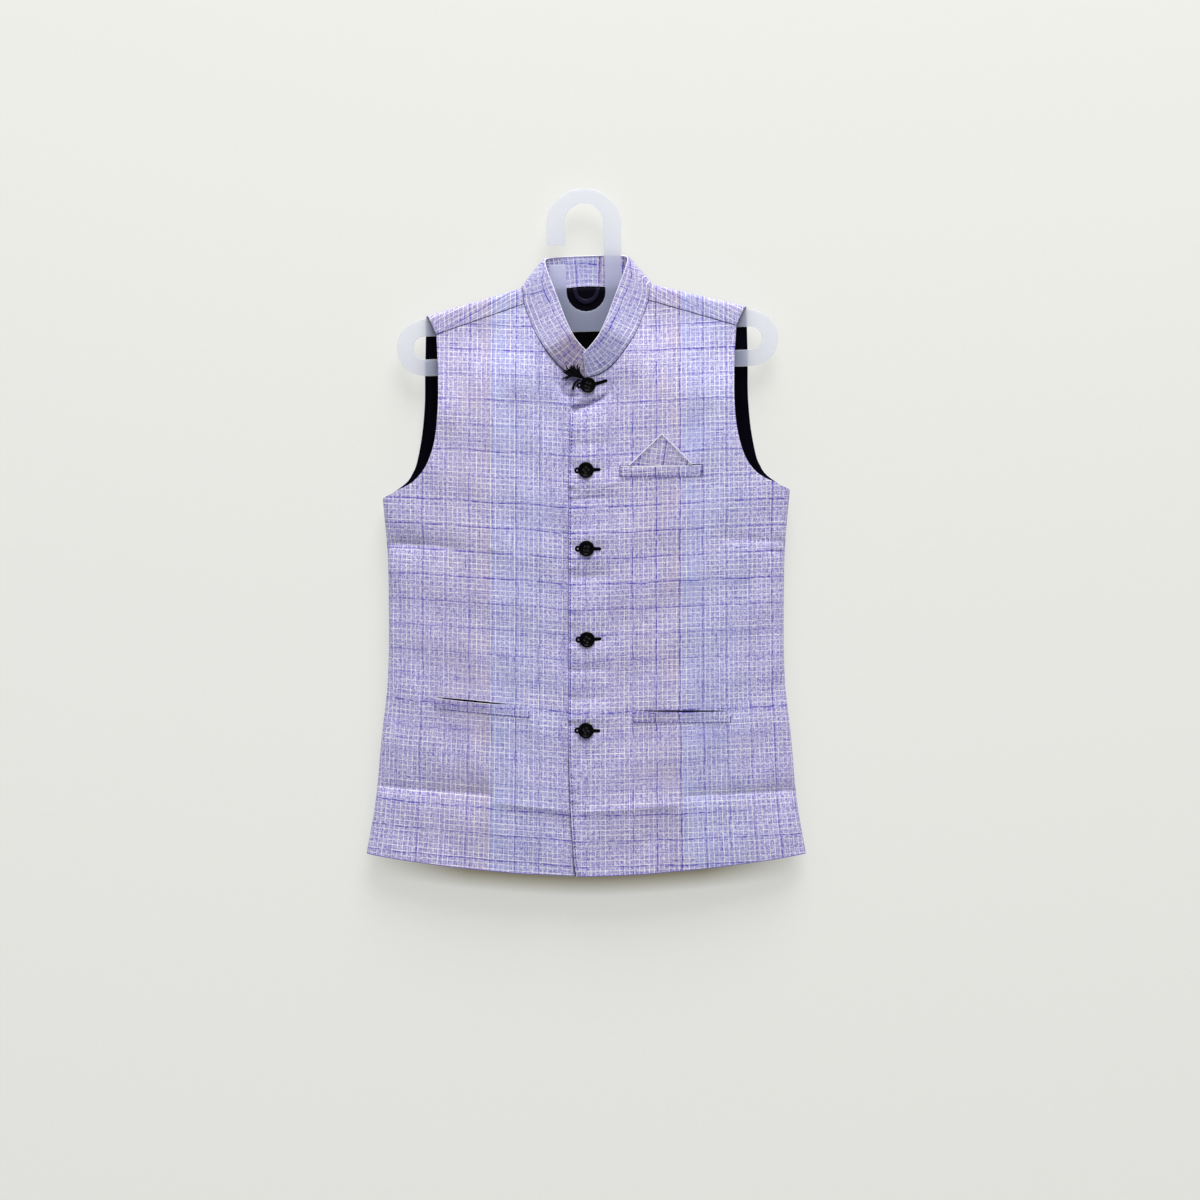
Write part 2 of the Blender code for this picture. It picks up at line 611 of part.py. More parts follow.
def build_collar():
    """The stand collar: one band from the under end, round the back, to the over end."""
    seam = neck_seam()
    walked = np.concatenate([[0], np.cumsum([(b - a).length for a, b in zip(seam, seam[1:])])])
    share = 2 * walked / walked[-1] - 1
    column = {key: table(COLLAR_TOP, "share", key) for key in "xyz"}
    rows = 3
    tops = []
    for point, s in zip(seam, share):
        top = Vector((math.copysign(1, s) * column["x"](abs(s)), column["y"](abs(s)), column["z"](abs(s))))
        if s < 0:
            top.y += LAP_DEPTH * ease((0.085 + top.x) / 0.055) * ease((abs(s) - 0.5) / 0.3)
        tops.append(hung(top))
    grid = []
    for n, (low, high) in enumerate(zip(seam, tops)):
        along = seam[min(n + 1, len(seam) - 1)] - seam[max(n - 1, 0)]
        along += tops[min(n + 1, len(seam) - 1)] - tops[max(n - 1, 0)]
        up = high - low
        out = up.cross(along).normalized()
        start = low + up.normalized() * COLLAR_GAP
        grid.append([(p, p - out * COLLAR_WALL) for p in (start.lerp(high, k / rows) for k in range(rows + 1))])
    return Cloth().grid(grid).build("collar", "lavender check")


def build_welt(welt):
    """A pocket welt: a strip laid on its front, made from the front's own points moved out."""
    columns, rows = 8, 1
    grid = []
    for k in range(rows + 1):
        row = []
        for c in range(columns + 1):
            x, z = (np.array(welt.left) + (np.array(welt.right) - welt.left) * c / columns)
            z -= welt.height * (1 - k / rows)
            row.append(lifted(welt.side, x, z, TRIM_LIFT, TRIM_WALL))
        grid.append(row)
    return Cloth().grid(grid, flip=welt.side < 0).build(welt.name, "lavender check")


def lifted(side, x, z, gap, wall):
    """Paired points of a trim that lies gap off a front."""
    outer, inner = on_front(side, x, z)
    out = (outer - inner).normalized()
    return outer + out * (gap + wall), outer + out * gap


def build_square():
    """The folded square that stands out of the chest welt."""
    welt = WELTS[0]
    columns, rows = 8, 5
    foot_z = np.interp(np.linspace(*SQUARE_BASE, columns + 1), [welt.left[0], welt.right[0]],
                       [welt.left[1], welt.right[1]]) + SEAM_GAP
    grid = []
    for k in range(rows + 1):
        up = min(k / rows, 0.985)
        row = []
        for c in range(columns + 1):
            foot = np.array([SQUARE_BASE[0] + (SQUARE_BASE[1] - SQUARE_BASE[0]) * c / columns, foot_z[c]])
            x, z = foot + (np.array(SQUARE_PEAK) - foot) * up
            row.append(lifted(welt.side, x, z, TRIM_LIFT, TRIM_WALL))
        grid.append(row)
    return Cloth().grid(grid).build("pocket_square", "lavender check")


def build_button(place):
    """A turned button with a raised rim, a shank's height off the left front."""
    rim = BUTTON_RADIUS
    profile = [  # radius, height
        (0.0, 0.0), (rim * 0.80, 0.0), (rim, BUTTON_THICK * 0.45), (rim * 0.94, BUTTON_THICK * 0.92),
        (rim * 0.80, BUTTON_THICK), (rim * 0.66, BUTTON_THICK * 0.62), (0.0, BUTTON_THICK * 0.55),
    ]
    shape = bmesh.new()
    ring = [shape.verts.new((r, -h, 0)) for r, h in profile]
    edges = [shape.edges.new(ends) for ends in zip(ring, ring[1:])]
    bmesh.ops.spin(shape, geom=ring + edges, cent=(0, 0, 0), axis=(0, 1, 0), angle=2 * math.pi,
                   steps=BUTTON_SIDES, use_merge=True)
    bmesh.ops.remove_doubles(shape, verts=shape.verts, dist=1e-6)
    bmesh.ops.recalc_face_normals(shape, faces=shape.faces)
    button = show(place.name, mesh_of(shape, place.name), "black button")
    outer, inner = on_front(1, place.x, place.z)
    out = (outer - inner).normalized()
    button.location = outer + out * BUTTON_LIFT
    button.rotation_euler = Vector((0, -1, 0)).rotation_difference(out).to_euler()
    return button


def mesh_of(shape, name):
    mesh = bpy.data.meshes.new(name)
    shape.to_mesh(mesh)
    shape.free()
    return mesh


def inside_lining(x, z):
    """Face and back of a flat trim sewn on the lining."""
    back, face = inside_back(x, z, LINING_GAP + LINING_WALL + SEAM_GAP, LABEL_WALL)
    return face, back


def build_label():
    """The bare woven label on the lining below the neck."""
    grid = [[inside_lining(x, z) for x in np.linspace(*LABEL_X, 6)] for z in np.linspace(*LABEL_Z, 5)]
    return Cloth().grid(grid).build("neck_label", "black lining")


def build_loop():
    """The hanging loop: a ribbon that droops in a U from the back neck seam."""
    steps = 10
    grid = []
    for k in range(steps + 1):
        turn = math.pi * k / steps
        row = []
        for radius in (1.0, 1.0 - LOOP_WIDTH / LOOP_HALF):
            x = -LOOP_HALF * radius * math.cos(turn)
            z = BACK_NECK_Z - 0.0030 - (LOOP_DROP - LOOP_WIDTH * (1 - radius) * 2) * math.sin(turn) * radius
            row.append(inside_lining(x, z))
        grid.append(row)
    return Cloth().grid(grid, flip=True).build("neck_loop", "black lining")


def build_tassel():
    """The thread tassel on the top button: strands drawn out of the outer face of one fan-shaped head."""
    columns, layers = 2 * FAN_STRANDS - 1, 2 * STRAND_LAYERS - 1
    shape = bmesh.new()
    bmesh.ops.create_grid(shape, x_segments=columns, y_segments=layers, size=0.5)
    front = list(shape.faces)
    middles = {face: face.calc_center_median() + Vector((0.5, 0.5, 0)) for face in front}
    back = bmesh.ops.extrude_face_region(shape, geom=front, use_keep_orig=True)["geom"]
    inner = {v for v in back if isinstance(v, bmesh.types.BMVert)}
    for vert in shape.verts:
        turn = TASSEL_FAN[0] + (TASSEL_FAN[1] - TASSEL_FAN[0]) * (vert.co.x + 0.5)
        reach, thick = (TASSEL_HEAD[0], 0.5) if vert in inner else (TASSEL_HEAD[1], 1.0)
        vert.co = (math.cos(turn) * reach, -(vert.co.y * thick + 0.5) * TASSEL_THICK, math.sin(turn) * reach)
    bmesh.ops.recalc_face_normals(shape, faces=shape.faces)
    length, bend = (table(STRANDS, "share", key) for key in ("length", "bend"))
    for face in front:
        column, layer = int(middles[face].x * columns), int(middles[face].y * layers)
        if column % 2 == 0 and layer % 2 == 0:
            share = column / (columns - 1)
            draw_strand(shape, face, length(share) * (1 - 0.12 * (layer > 0)), bend(share))
    outer, inner_face = on_front(1, *TASSEL_ROOT)
    tassel = show("tassel", mesh_of(shape, "tassel"), "black thread", smooth=False)
    tassel.location = outer + (outer - inner_face).normalized() * TASSEL_LIFT
    return tassel


def draw_strand(shape, face, length, bend):
    """Extrudes one face three times, turning about Y by bend at each joint."""
    heading = face.normal.copy()
    for _ in range(3):
        heading.rotate(Euler((0, -bend, 0)))
        face = bmesh.ops.extrude_discrete_faces(shape, faces=[face])["faces"][0]
        bmesh.ops.translate(shape, verts=face.verts, vec=heading * length / 3)


def arc(cx, cz, rx, rz, start, end, steps):
    """Points along an elliptic arc; angles in degrees."""
    return [(cx + rx * math.cos(math.radians(a)), cz + rz * math.sin(math.radians(a)))
            for a in np.linspace(start, end, steps + 1)]


def hanger_outline():
    """The hanger's outer edge, counter-clockwise from the foot of the right leg."""
    tilt = 90 - math.degrees(ARM_SLOPE)
    fillet = 0.010
    arm_at_leg = arm_z(LEG_OUTER_X)
    right_end = arc(END_X, END_Z, END_RADIUS, END_RADIUS, tilt, -90, 12)[::-1]
    left_end = [(-x, z) for x, z in right_end][::-1]
    neck_corner = [(LEG_OUTER_X + fillet, arm_z(LEG_OUTER_X + fillet)),
                   (LEG_OUTER_X + fillet * 0.3, arm_at_leg + fillet * 0.25), (LEG_OUTER_X, arm_at_leg + fillet)]
    outer_arch = arc(0, HOOK_ARCH_Z, *HOOK_OUTER, -12, 180, 16) + [(-HOOK_OUTER[0], HOOK_TIP_Z)]
    inner_arch = arc(0, -HOOK_SLOT_RADIUS, HOOK_SLOT_RADIUS, HOOK_SLOT_RADIUS, 180, 0, 12)
    slot_foot = arc(0, HOOK_SLOT_BOTTOM + HOOK_SLOT_RADIUS, HOOK_SLOT_RADIUS, HOOK_SLOT_RADIUS, 0, -180, 12)
    left_leg = [(-HOOK_SLOT_RADIUS, LEG_TOP_Z), (-LEG_OUTER_X, LEG_TOP_Z)]
    left_corner = [(-x, z) for x, z in neck_corner][::-1]
    return [*right_end, *neck_corner, *outer_arch, (-HOOK_SLOT_RADIUS, HOOK_TIP_Z), *inner_arch, *slot_foot,
            *left_leg, *left_corner, *left_end]


def bar_slot():
    """The long slot between the hanger's arms and its bottom bar."""
    right = arc(END_X, END_Z, BAR_SLOT_RADIUS, BAR_SLOT_RADIUS, 90, -90, 8)
    return right + [(-x, z) for x, z in right[::-1]]


def build_hanger():
    curve = bpy.data.curves.new("hanger", "CURVE")
    curve.dimensions = "2D"
    curve.fill_mode = "BOTH"
    curve.extrude = HANGER_THICK / 2 - EDGE_ROUND
    curve.bevel_depth = EDGE_ROUND
    curve.bevel_resolution = 0
    curve.offset = -EDGE_ROUND
    for outline in (hanger_outline(), bar_slot()):
        spline = curve.splines.new("POLY")
        spline.points.add(len(outline) - 1)
        for point, (x, z) in zip(spline.points, outline):
            point.co = (x, z, 0, 1)
        spline.use_cyclic_u = True
    hanger = bpy.data.objects.new("hanger", curve)
    bpy.context.scene.collection.objects.link(hanger)
    curve.materials.append(material("milky plastic"))
    hanger.rotation_euler = (math.pi / 2, -HANGER_LEAN, 0)
    return hanger


def main():
    for obj in list(bpy.data.objects):
        bpy.data.objects.remove(obj, do_unlink=True)
    build_front("front_left", 1, OVER_EDGE)
    build_front("front_right", -1, UNDER_EDGE)
    build_back()
    build_lining()
    build_collar()
    for welt in WELTS:
        build_welt(welt)
    build_square()
    for place in BUTTONS:
        build_button(place)
    build_label()
    build_loop()
    build_tassel()
    build_hanger()


main()
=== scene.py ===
"""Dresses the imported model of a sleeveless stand-collar jacket hanging on a flat plastic hanger.

Every cloth piece is a thin shell on the form of its solid, cut from a flat pattern that also carries the
woven check. Lengths are in metres, +Z is up, the front faces -Y and the hanger's hook hangs at the origin.
"""

from __future__ import annotations

import logging
import math
from dataclasses import dataclass, field
from enum import Enum
from typing import Callable, Iterable, Sequence

import bmesh
import bpy
import numpy as np
from mathutils import Matrix, Vector


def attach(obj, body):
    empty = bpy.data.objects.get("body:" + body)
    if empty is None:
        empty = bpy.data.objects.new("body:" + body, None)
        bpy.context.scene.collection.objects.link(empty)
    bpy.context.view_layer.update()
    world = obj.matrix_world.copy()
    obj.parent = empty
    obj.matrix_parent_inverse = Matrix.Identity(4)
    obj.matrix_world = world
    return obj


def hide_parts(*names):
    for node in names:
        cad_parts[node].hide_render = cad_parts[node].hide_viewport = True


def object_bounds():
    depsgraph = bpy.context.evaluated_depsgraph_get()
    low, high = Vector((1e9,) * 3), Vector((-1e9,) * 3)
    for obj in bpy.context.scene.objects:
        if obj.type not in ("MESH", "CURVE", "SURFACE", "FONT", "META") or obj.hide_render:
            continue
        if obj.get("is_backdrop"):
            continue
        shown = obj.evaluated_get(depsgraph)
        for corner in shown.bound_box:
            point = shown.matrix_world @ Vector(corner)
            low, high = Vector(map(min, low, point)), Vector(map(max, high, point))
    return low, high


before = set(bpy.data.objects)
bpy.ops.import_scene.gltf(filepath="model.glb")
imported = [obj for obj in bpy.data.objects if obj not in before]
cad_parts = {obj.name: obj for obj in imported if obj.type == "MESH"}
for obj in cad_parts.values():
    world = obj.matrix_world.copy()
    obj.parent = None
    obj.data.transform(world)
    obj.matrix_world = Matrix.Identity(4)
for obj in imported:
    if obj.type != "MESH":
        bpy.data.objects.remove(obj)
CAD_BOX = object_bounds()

log = logging.getLogger("jacket")
MM = 0.001
Place = Callable[[np.ndarray], np.ndarray]  # turns pattern places into points, or into the check's places
Socket = bpy.types.NodeSocket


# ---- Small mathematics


def ease(t: np.ndarray | float) -> np.ndarray:
    """Smooth step from 0 to 1."""
    t = np.clip(t, 0.0, 1.0)
    return t * t * (3 - 2 * t)


def bell(t: np.ndarray | float) -> np.ndarray:
    """A bell one high at 0 and about nothing past 2."""
    return np.exp(-np.square(t))


def pairs(x: np.ndarray, z: np.ndarray) -> np.ndarray:
    """Places made of their two coordinates."""
    return np.stack([x, z], axis=1)


def unit(steps: np.ndarray) -> np.ndarray:
    """The same steps, each made one long."""
    return steps / np.linalg.norm(steps, axis=1)[:, None]


def distances(line: np.ndarray) -> np.ndarray:
    """How far along a line each of its points lies."""
    return np.concatenate([[0], np.cumsum(np.linalg.norm(np.diff(line, axis=0), axis=1))])


def heading(turn: np.ndarray | float) -> np.ndarray:
    """A step of one, as (x, z), in a direction in radians."""
    return np.stack([np.cos(turn), np.sin(turn)], axis=-1)


def lattice(across: Sequence[float], up: Sequence[float]) -> np.ndarray:
    """Every pair of a place across and a place up, in rows."""
    return np.stack(np.meshgrid(across, up), axis=2)


def smooth_table(
    knots: Sequence[float], values: Sequence[float], dense: int = 24
) -> tuple[np.ndarray, np.ndarray]:
    """Draws a smooth curve through a table.

    Args:
        knots: Where the values stand, rising.
        values: The value at each knot.
        dense: Steps drawn between two knots.

    Returns:
        Places and values, close enough together to be read with straight steps.
    """
    x, y = np.array(knots, float), np.array(values, float)
    slope = np.gradient(y, x)
    t = np.linspace(0, 1, dense, endpoint=False)[None, :]
    span = np.diff(x)[:, None]
    low, high, a, b = y[:-1, None], y[1:, None], slope[:-1, None] * span, slope[1:, None] * span
    curve = (2 * t**3 - 3 * t**2 + 1) * low + (t**3 - 2 * t**2 + t) * a
    curve = curve + (3 * t**2 - 2 * t**3) * high + (t**3 - t**2) * b
    places = x[:-1, None] + span * t
    return np.append(places.ravel(), x[-1]), np.append(curve.ravel(), y[-1])


def through(
    points: Sequence[Sequence[float]], count: int, start: int = 0, end: int | None = None
) -> np.ndarray:
    """Spreads points evenly along a smooth curve.

    Args:
        points: The points that the curve passes.
        count: Steps to take.
        start: Row of points where the first step begins.
        end: Row where the last one ends, or None for the last row.

    Returns:
        count + 1 points.
    """
    p, dense = np.array(points, float), 32
    rows = np.arange(len(p))
    fine = np.stack([smooth_table(rows, p[:, k], dense)[1] for k in range(p.shape[1])], axis=1)
    way = distances(fine)
    marks = way[::dense]
    at = np.linspace(marks[start], marks[len(p) - 1 if end is None else end], count + 1)
    return np.stack([np.interp(at, way, fine[:, k]) for k in range(p.shape[1])], axis=1)


def walked_share(points: np.ndarray) -> np.ndarray:
    """How far along a line each of its points lies, from 0 to 1."""
    steps = np.linalg.norm(np.diff(points, axis=0), axis=1) + 1e-9
    return np.concatenate([[0], np.cumsum(steps)]) / steps.sum()


def filled(bottom: np.ndarray, top: np.ndarray, left: np.ndarray, right: np.ndarray) -> np.ndarray:
    """Fills a pattern piece between its four edges.

    Args:
        bottom: Points from left to right.
        top: As many points from left to right.
        left: Points from bottom to top.
        right: As many points from bottom to top.

    Returns:
        Rows of points, shaped (rows, columns, 2).
    """
    bottom, top, left, right = (np.array(e, float) for e in (bottom, top, left, right))
    a = ((walked_share(bottom) + walked_share(top)) / 2)[None, :, None]
    b = ((walked_share(left) + walked_share(right)) / 2)[:, None, None]
    low, high = (1 - a) * bottom[0] + a * bottom[-1], (1 - a) * top[0] + a * top[-1]
    corners = (1 - b) * low + b * high
    grid = (1 - b) * bottom + b * top + (1 - a) * left[:, None] + a * right[:, None] - corners
    return np.round(grid, 7)  # so that edges that two grids share stay alike


def resampled(line: np.ndarray, count: int) -> np.ndarray:
    """The same line in count even steps."""
    share = walked_share(line)
    at = np.linspace(0, 1, count + 1)
    return np.stack([np.interp(at, share, line[:, k]) for k in range(line.shape[1])], axis=1)


def near_line(points: np.ndarray, line: np.ndarray) -> tuple[np.ndarray, np.ndarray]:
    """Measures points from a line drawn on the pattern.

    Args:
        points: Pattern places, (n, 2).
        line: The line's corners, (m, 2).

    Returns:
        Signed distance, positive on the line's left, and the share of the line at the nearest place.
    """
    share = walked_share(line)
    best = np.full(len(points), 1e9)
    signed, along = np.zeros(len(points)), np.zeros(len(points))
    for k, (a, b) in enumerate(zip(line[:-1], line[1:])):
        run = b - a
        t = np.clip(((points - a) @ run) / (run @ run), 0, 1)
        off = points - (a + t[:, None] * run)
        far = np.linalg.norm(off, axis=1)
        nearer = far < best
        side = np.sign(run[0] * off[:, 1] - run[1] * off[:, 0])
        best = np.where(nearer, far, best)
        signed = np.where(nearer, far * np.where(side == 0, 1, side), signed)
        along = np.where(nearer, share[k] + t * (share[k + 1] - share[k]), along)
    return signed, along


# ---- The form that every cloth piece follows


MIRROR = np.array([-1.0, 1.0])  # takes a pattern place to the other side
BUTTONS = ((0.0022, -0.2300), (-0.0003, -0.3350), (0.0003, -0.4320), (0.0010, -0.5445), (-0.0003, -0.6570))


@dataclass(frozen=True)
class Section:
    """The jacket's body at one level.

    Attributes:
        z: Height.
        half_width: Half the width, side seam to side seam.
        front: Depth of the front half.
        back: Depth of the back half.
    """

    z: float
    half_width: float
    front: float
    back: float


class Relief(Enum):
    """How a crease stands on the cloth."""

    TROUGH = -1.0
    RIDGE = 1.0


@dataclass(frozen=True)
class Crease:
    """One sharp crease, drawn on a panel as (x, z) places with x rising, or z rising where it is upright.

    Attributes:
        line: Its corners.
        above: How quickly it dies away on its upper side, or its left side where it is upright.
        below: How quickly it dies away on its other side.
        depth: How far it stands in or out.
        relief: Which way it stands.
        start: Share of its length over which it grows at its first end.
        end: Share over which it dies away at its last end.
    """

    line: tuple[tuple[float, float], ...]
    above: float
    below: float
    depth: float
    relief: Relief = Relief.TROUGH
    start: float = 0.15
    end: float = 0.15

    def lift(self, flat: np.ndarray) -> np.ndarray:
        """How far the crease lifts each place of the cloth."""
        signed, along = near_line(flat, np.array(self.line))
        shape = np.exp(-np.abs(signed) / np.where(signed > 0, self.above, self.below))
        ends = ease(along / max(self.start, 1e-6)) * ease((1 - along) / max(self.end, 1e-6))
        first = (along <= 0) & (self.start == 0)
        last = (along >= 1) & (self.end == 0)
        return self.relief.value * self.depth * shape * np.where(first | last, 1.0, ends)


@dataclass
class JacketForm:
    """The hanging jacket's surfaces, worked out from its sizes.

    A pattern place on a front is (u, z), with u walked round the cloth from the centre front. One on the back
    is (u, q), where q past the shoulder fold runs on over it and down the front.
    """

    sections: tuple[Section, ...] = (
        Section(-0.8380, 0.2795, 0.0240, 0.0125),
        Section(-0.7430, 0.2630, 0.0245, 0.0130),
        Section(-0.6650, 0.2558, 0.0245, 0.0135),
        Section(-0.6000, 0.2487, 0.0240, 0.0135),
        Section(-0.5000, 0.2469, 0.0255, 0.0140),
        Section(-0.4250, 0.2489, 0.0270, 0.0145),
        Section(-0.3630, 0.2545, 0.0275, 0.0145),
        Section(-0.2600, 0.2570, 0.0265, 0.0145),
        Section(-0.0900, 0.2500, 0.0255, 0.0145),
    )
    front_fullness: float = 3.2  # how square half a section is; 2 makes an ellipse
    back_fullness: float = 10.0
    front_flatness: float = 0.104  # depth over half width, for the walk round a section
    back_flatness: float = 0.056
    centre_x: float = 0.0038  # how far beside its hook the jacket hangs
    lean: float = math.tan(math.radians(1.76))  # slope of its level lines, none low down and full high up
    lean_from: float = -0.80
    lean_to: float = -0.10
    hem_centre: float = -0.8380
    hem_rise: float = 0.0262  # of the fronts' hem, from the centre to the side seam
    hem_power: float = 1.6
    back_hem: float = -0.8118
    underarm: float = -0.3630
    seam_neck: tuple[float, float] = (0.0780, -0.1240)  # the forward shoulder seam's two ends
    seam_tip: tuple[float, float] = (0.1870, -0.1588)
    fold_radius: float = 0.0068
    fold_rise: float = 0.0026  # how far the shoulder fold stands off the hanger's arm
    shoulder_ease: float = 0.110  # drop over which a shoulder fills out to the body's depth
    neck_ease: float = 0.050
    back_neck_x: float = 0.0745
    back_neck_z: float = -0.1010
    lap_depth: float = 0.0032  # how far behind the over front the under front lies
    lap_from: float = 0.085
    lap_over: float = 0.055
    tuck: float = 0.0036  # how much further in the under front lies where the over front hides it
    tuck_from: float = 0.0205
    tuck_over: float = 0.0120
    arm_end: tuple[float, float] = (0.2035, -0.1745)  # middle of the round end of the hanger's arm
    arm_radius: float = 0.0350
    arm_slope: float = math.radians(14.75)
    seam_gap: float = 0.00015
    probe: float = 0.0008  # step over which a surface's direction is measured
    softness: float = 0.00070  # height of the cloth's own slow swells
    pull: float = 0.0017  # how far a button draws the cloth in
    pull_height: float = 0.0125
    pull_width: float = 0.0240
    seam_fade: float = 0.0100  # width over which creases die away at a side seam
    fold_fade: float = 0.0300  # drop over which the back's creases grow below the shoulder fold
    creases: dict[int, tuple[Crease, ...]] = field(default_factory=dict)

    def __post_init__(self) -> None:
        """Draws the smooth curves through the sections."""
        rising = sorted(self.sections, key=lambda s: s.z)
        z = [s.z for s in rising]
        self._width = smooth_table(z, [s.half_width for s in rising])
        self._front = smooth_table(z, [s.front for s in rising])
        self._back = smooth_table(z, [s.back for s in rising])
        share = 1 - (1 - np.linspace(0, 1, 801)) ** 2.4  # closer together towards the side seam
        self._walk = {}
        for fullness, flatness in (
            (self.front_fullness, self.front_flatness),
            (self.back_fullness, self.back_flatness),
        ):
            y = flatness * np.sqrt(np.maximum(0, 1 - share**fullness))
            walked = np.concatenate([[0], np.cumsum(np.hypot(np.diff(share), np.diff(y)))])
            self._walk[fullness] = (share, walked)

    def half_width(self, z: np.ndarray | float) -> np.ndarray:
        """Half the width at a height."""
        return np.interp(z, *self._width)

    def walk(self, x: np.ndarray, z: np.ndarray, fullness: float) -> np.ndarray:
        """u at x: the way round the cloth from the centre."""
        half = self.half_width(z)
        share, walked = self._walk[fullness]
        return np.sign(x) * half * np.interp(np.abs(x) / half, share, walked)

    def across(self, u: np.ndarray, z: np.ndarray, fullness: float) -> np.ndarray:
        """x at u, the other way round from walk."""
        half = self.half_width(z)
        share, walked = self._walk[fullness]
        return np.sign(u) * half * np.interp(np.abs(u) / half, walked, share)

    def furthest(self, z: np.ndarray, fullness: float) -> np.ndarray:
        """The largest u at a height, at the side seam."""
        return self.half_width(z) * self._walk[fullness][1][-1] - self.seam_gap

    def arm(self, x: np.ndarray | float) -> np.ndarray:
        """Top of the hanger's arm."""
        top = self.arm_end[1] + self.arm_radius / math.cos(self.arm_slope)
        return top + math.tan(self.arm_slope) * (self.arm_end[0] - np.abs(x))

    def fold(self, x: np.ndarray | float) -> np.ndarray:
        """Centre line of the shoulder fold."""
        return self.arm(x) + self.fold_rise - self.fold_radius

    def seam(self, x: np.ndarray | float) -> np.ndarray:
        """Height of the forward shoulder seam."""
        (x0, z0), (x1, z1) = self.seam_neck, self.seam_tip
        return z0 + (z1 - z0) / (x1 - x0) * (np.abs(x) - x0)

    def seam_q(self, x: np.ndarray | float) -> np.ndarray:
        """The shoulder seam, measured up the back's cloth."""
        return 2 * self.fold(x) + math.pi * self.fold_radius - self.seam(x)

    def hem(self, x: np.ndarray | float) -> np.ndarray:
        """Height of the fronts' hem."""
        share = np.abs(x) / self.half_width(self.back_hem)
        return self.hem_centre + self.hem_rise * share**self.hem_power

    def hung(self, points: np.ndarray) -> np.ndarray:
        """Leans level points with the hanger."""
        lean = self.lean * ease((points[:, 2] - self.lean_from) / (self.lean_to - self.lean_from))
        out = points.copy()
        out[:, 2] += lean * points[:, 0]
        out[:, 0] += self.centre_x
        return out

    def _front_level(self, side: int, flat: np.ndarray) -> np.ndarray:
        """A front's outer face before it leans."""
        u, z = flat[:, 0], flat[:, 1]
        x = self.across(u, z, self.front_fullness)
        s = np.minimum(1.0, np.abs(x) / self.half_width(z))
        full = np.interp(z, *self._front) * np.sqrt(np.maximum(0, 1 - s**self.front_fullness))
        below = ease((self.seam(x) - z) / self.shoulder_ease)
        near = ease((self.seam_neck[0] - np.abs(x)) / self.neck_ease)
        share = 1 - (1 - below) * (1 - near)
        depth = self.fold_radius + (full - self.fold_radius) * share
        if side < 0:
            depth = depth - self.lap_depth * ease((self.lap_from - x) / self.lap_over)
        return np.stack([side * x, -depth, z], axis=1)

    def _back_level(self, flat: np.ndarray) -> np.ndarray:
        """The back's outer face before it leans."""
        u, q = flat[:, 0], flat[:, 1]
        level = np.minimum(q, self.fold(0.0))
        x = self.across(u, level, self.back_fullness)
        centre = self.fold(x)
        past = q - centre
        s = np.minimum(1.0, np.abs(x) / self.half_width(level))
        full = np.interp(level, *self._back) * np.sqrt(np.maximum(0, 1 - s**self.back_fullness))
        near = ease((self.back_neck_x - np.abs(x)) / self.neck_ease)
        share = 1 - (1 - ease(-past / self.shoulder_ease)) * (1 - near)
        r = self.fold_radius
        turn = np.clip(past / r, 0, math.pi)
        y = np.where(past <= 0, r + (full - r) * share, r * np.cos(turn))
        z = np.where(past <= 0, q, centre + r * np.sin(turn) - np.maximum(0, past - math.pi * r))
        return np.stack([x, y, z], axis=1)

    def _lifted(
        self, level: Place, flat: np.ndarray, limit: np.ndarray, lift: np.ndarray, out: int
    ) -> np.ndarray:
        """Points of a level surface, moved out along its normal and leaned.

        Args:
            level: The surface.
            flat: Pattern places.
            limit: The largest u at each.
            lift: How far each point moves out.
            out: 1 where the surface's own normal faces out, otherwise -1.

        Returns:
            Points in the jacket's frame.
        """
        step = np.array([self.probe, 0.0])
        rise = np.array([0.0, self.probe])
        ahead, behind = flat + step, flat - step
        ahead[:, 0] = np.minimum(ahead[:, 0], limit)
        behind[:, 0] = np.maximum(behind[:, 0], -limit)
        normal = np.cross(level(ahead) - level(behind), level(flat + rise) - level(flat - rise))
        normal /= np.linalg.norm(normal, axis=1)[:, None] + 1e-12
        return self.hung(level(flat) + normal * (out * lift)[:, None])

    def relief(self, side: int, x: np.ndarray, z: np.ndarray) -> np.ndarray:
        """How far the swells and creases lift the cloth.

        Args:
            side: 1 or -1 for a front, 0 for the back.
            x: Where across.
            z: How high, or how far up the back's cloth.

        Returns:
            The lift at each place.
        """
        flat = pairs(x, z)
        total = self.softness * (
            np.sin(math.tau * (x / 0.083 + z / 0.310) + side)
            + 0.8 * np.sin(math.tau * (z / 0.071 - x / 0.240) + 2 * side)
            + 0.6 * np.sin(math.tau * (x / 0.047 - z / 0.120) + 3 * side)
        )
        for crease in self.creases.get(side, ()):
            total = total + crease.lift(flat)
        if side < 0:
            total = total - self.tuck * ease((self.tuck_from - x) / self.tuck_over)
        for at_x, at_z in BUTTONS if side > 0 else ():
            t = (z - at_z) / self.pull_height
            total = total - self.pull * (1 - 2 * t * t) * bell(t) * bell((x - at_x) / self.pull_width)
        return total

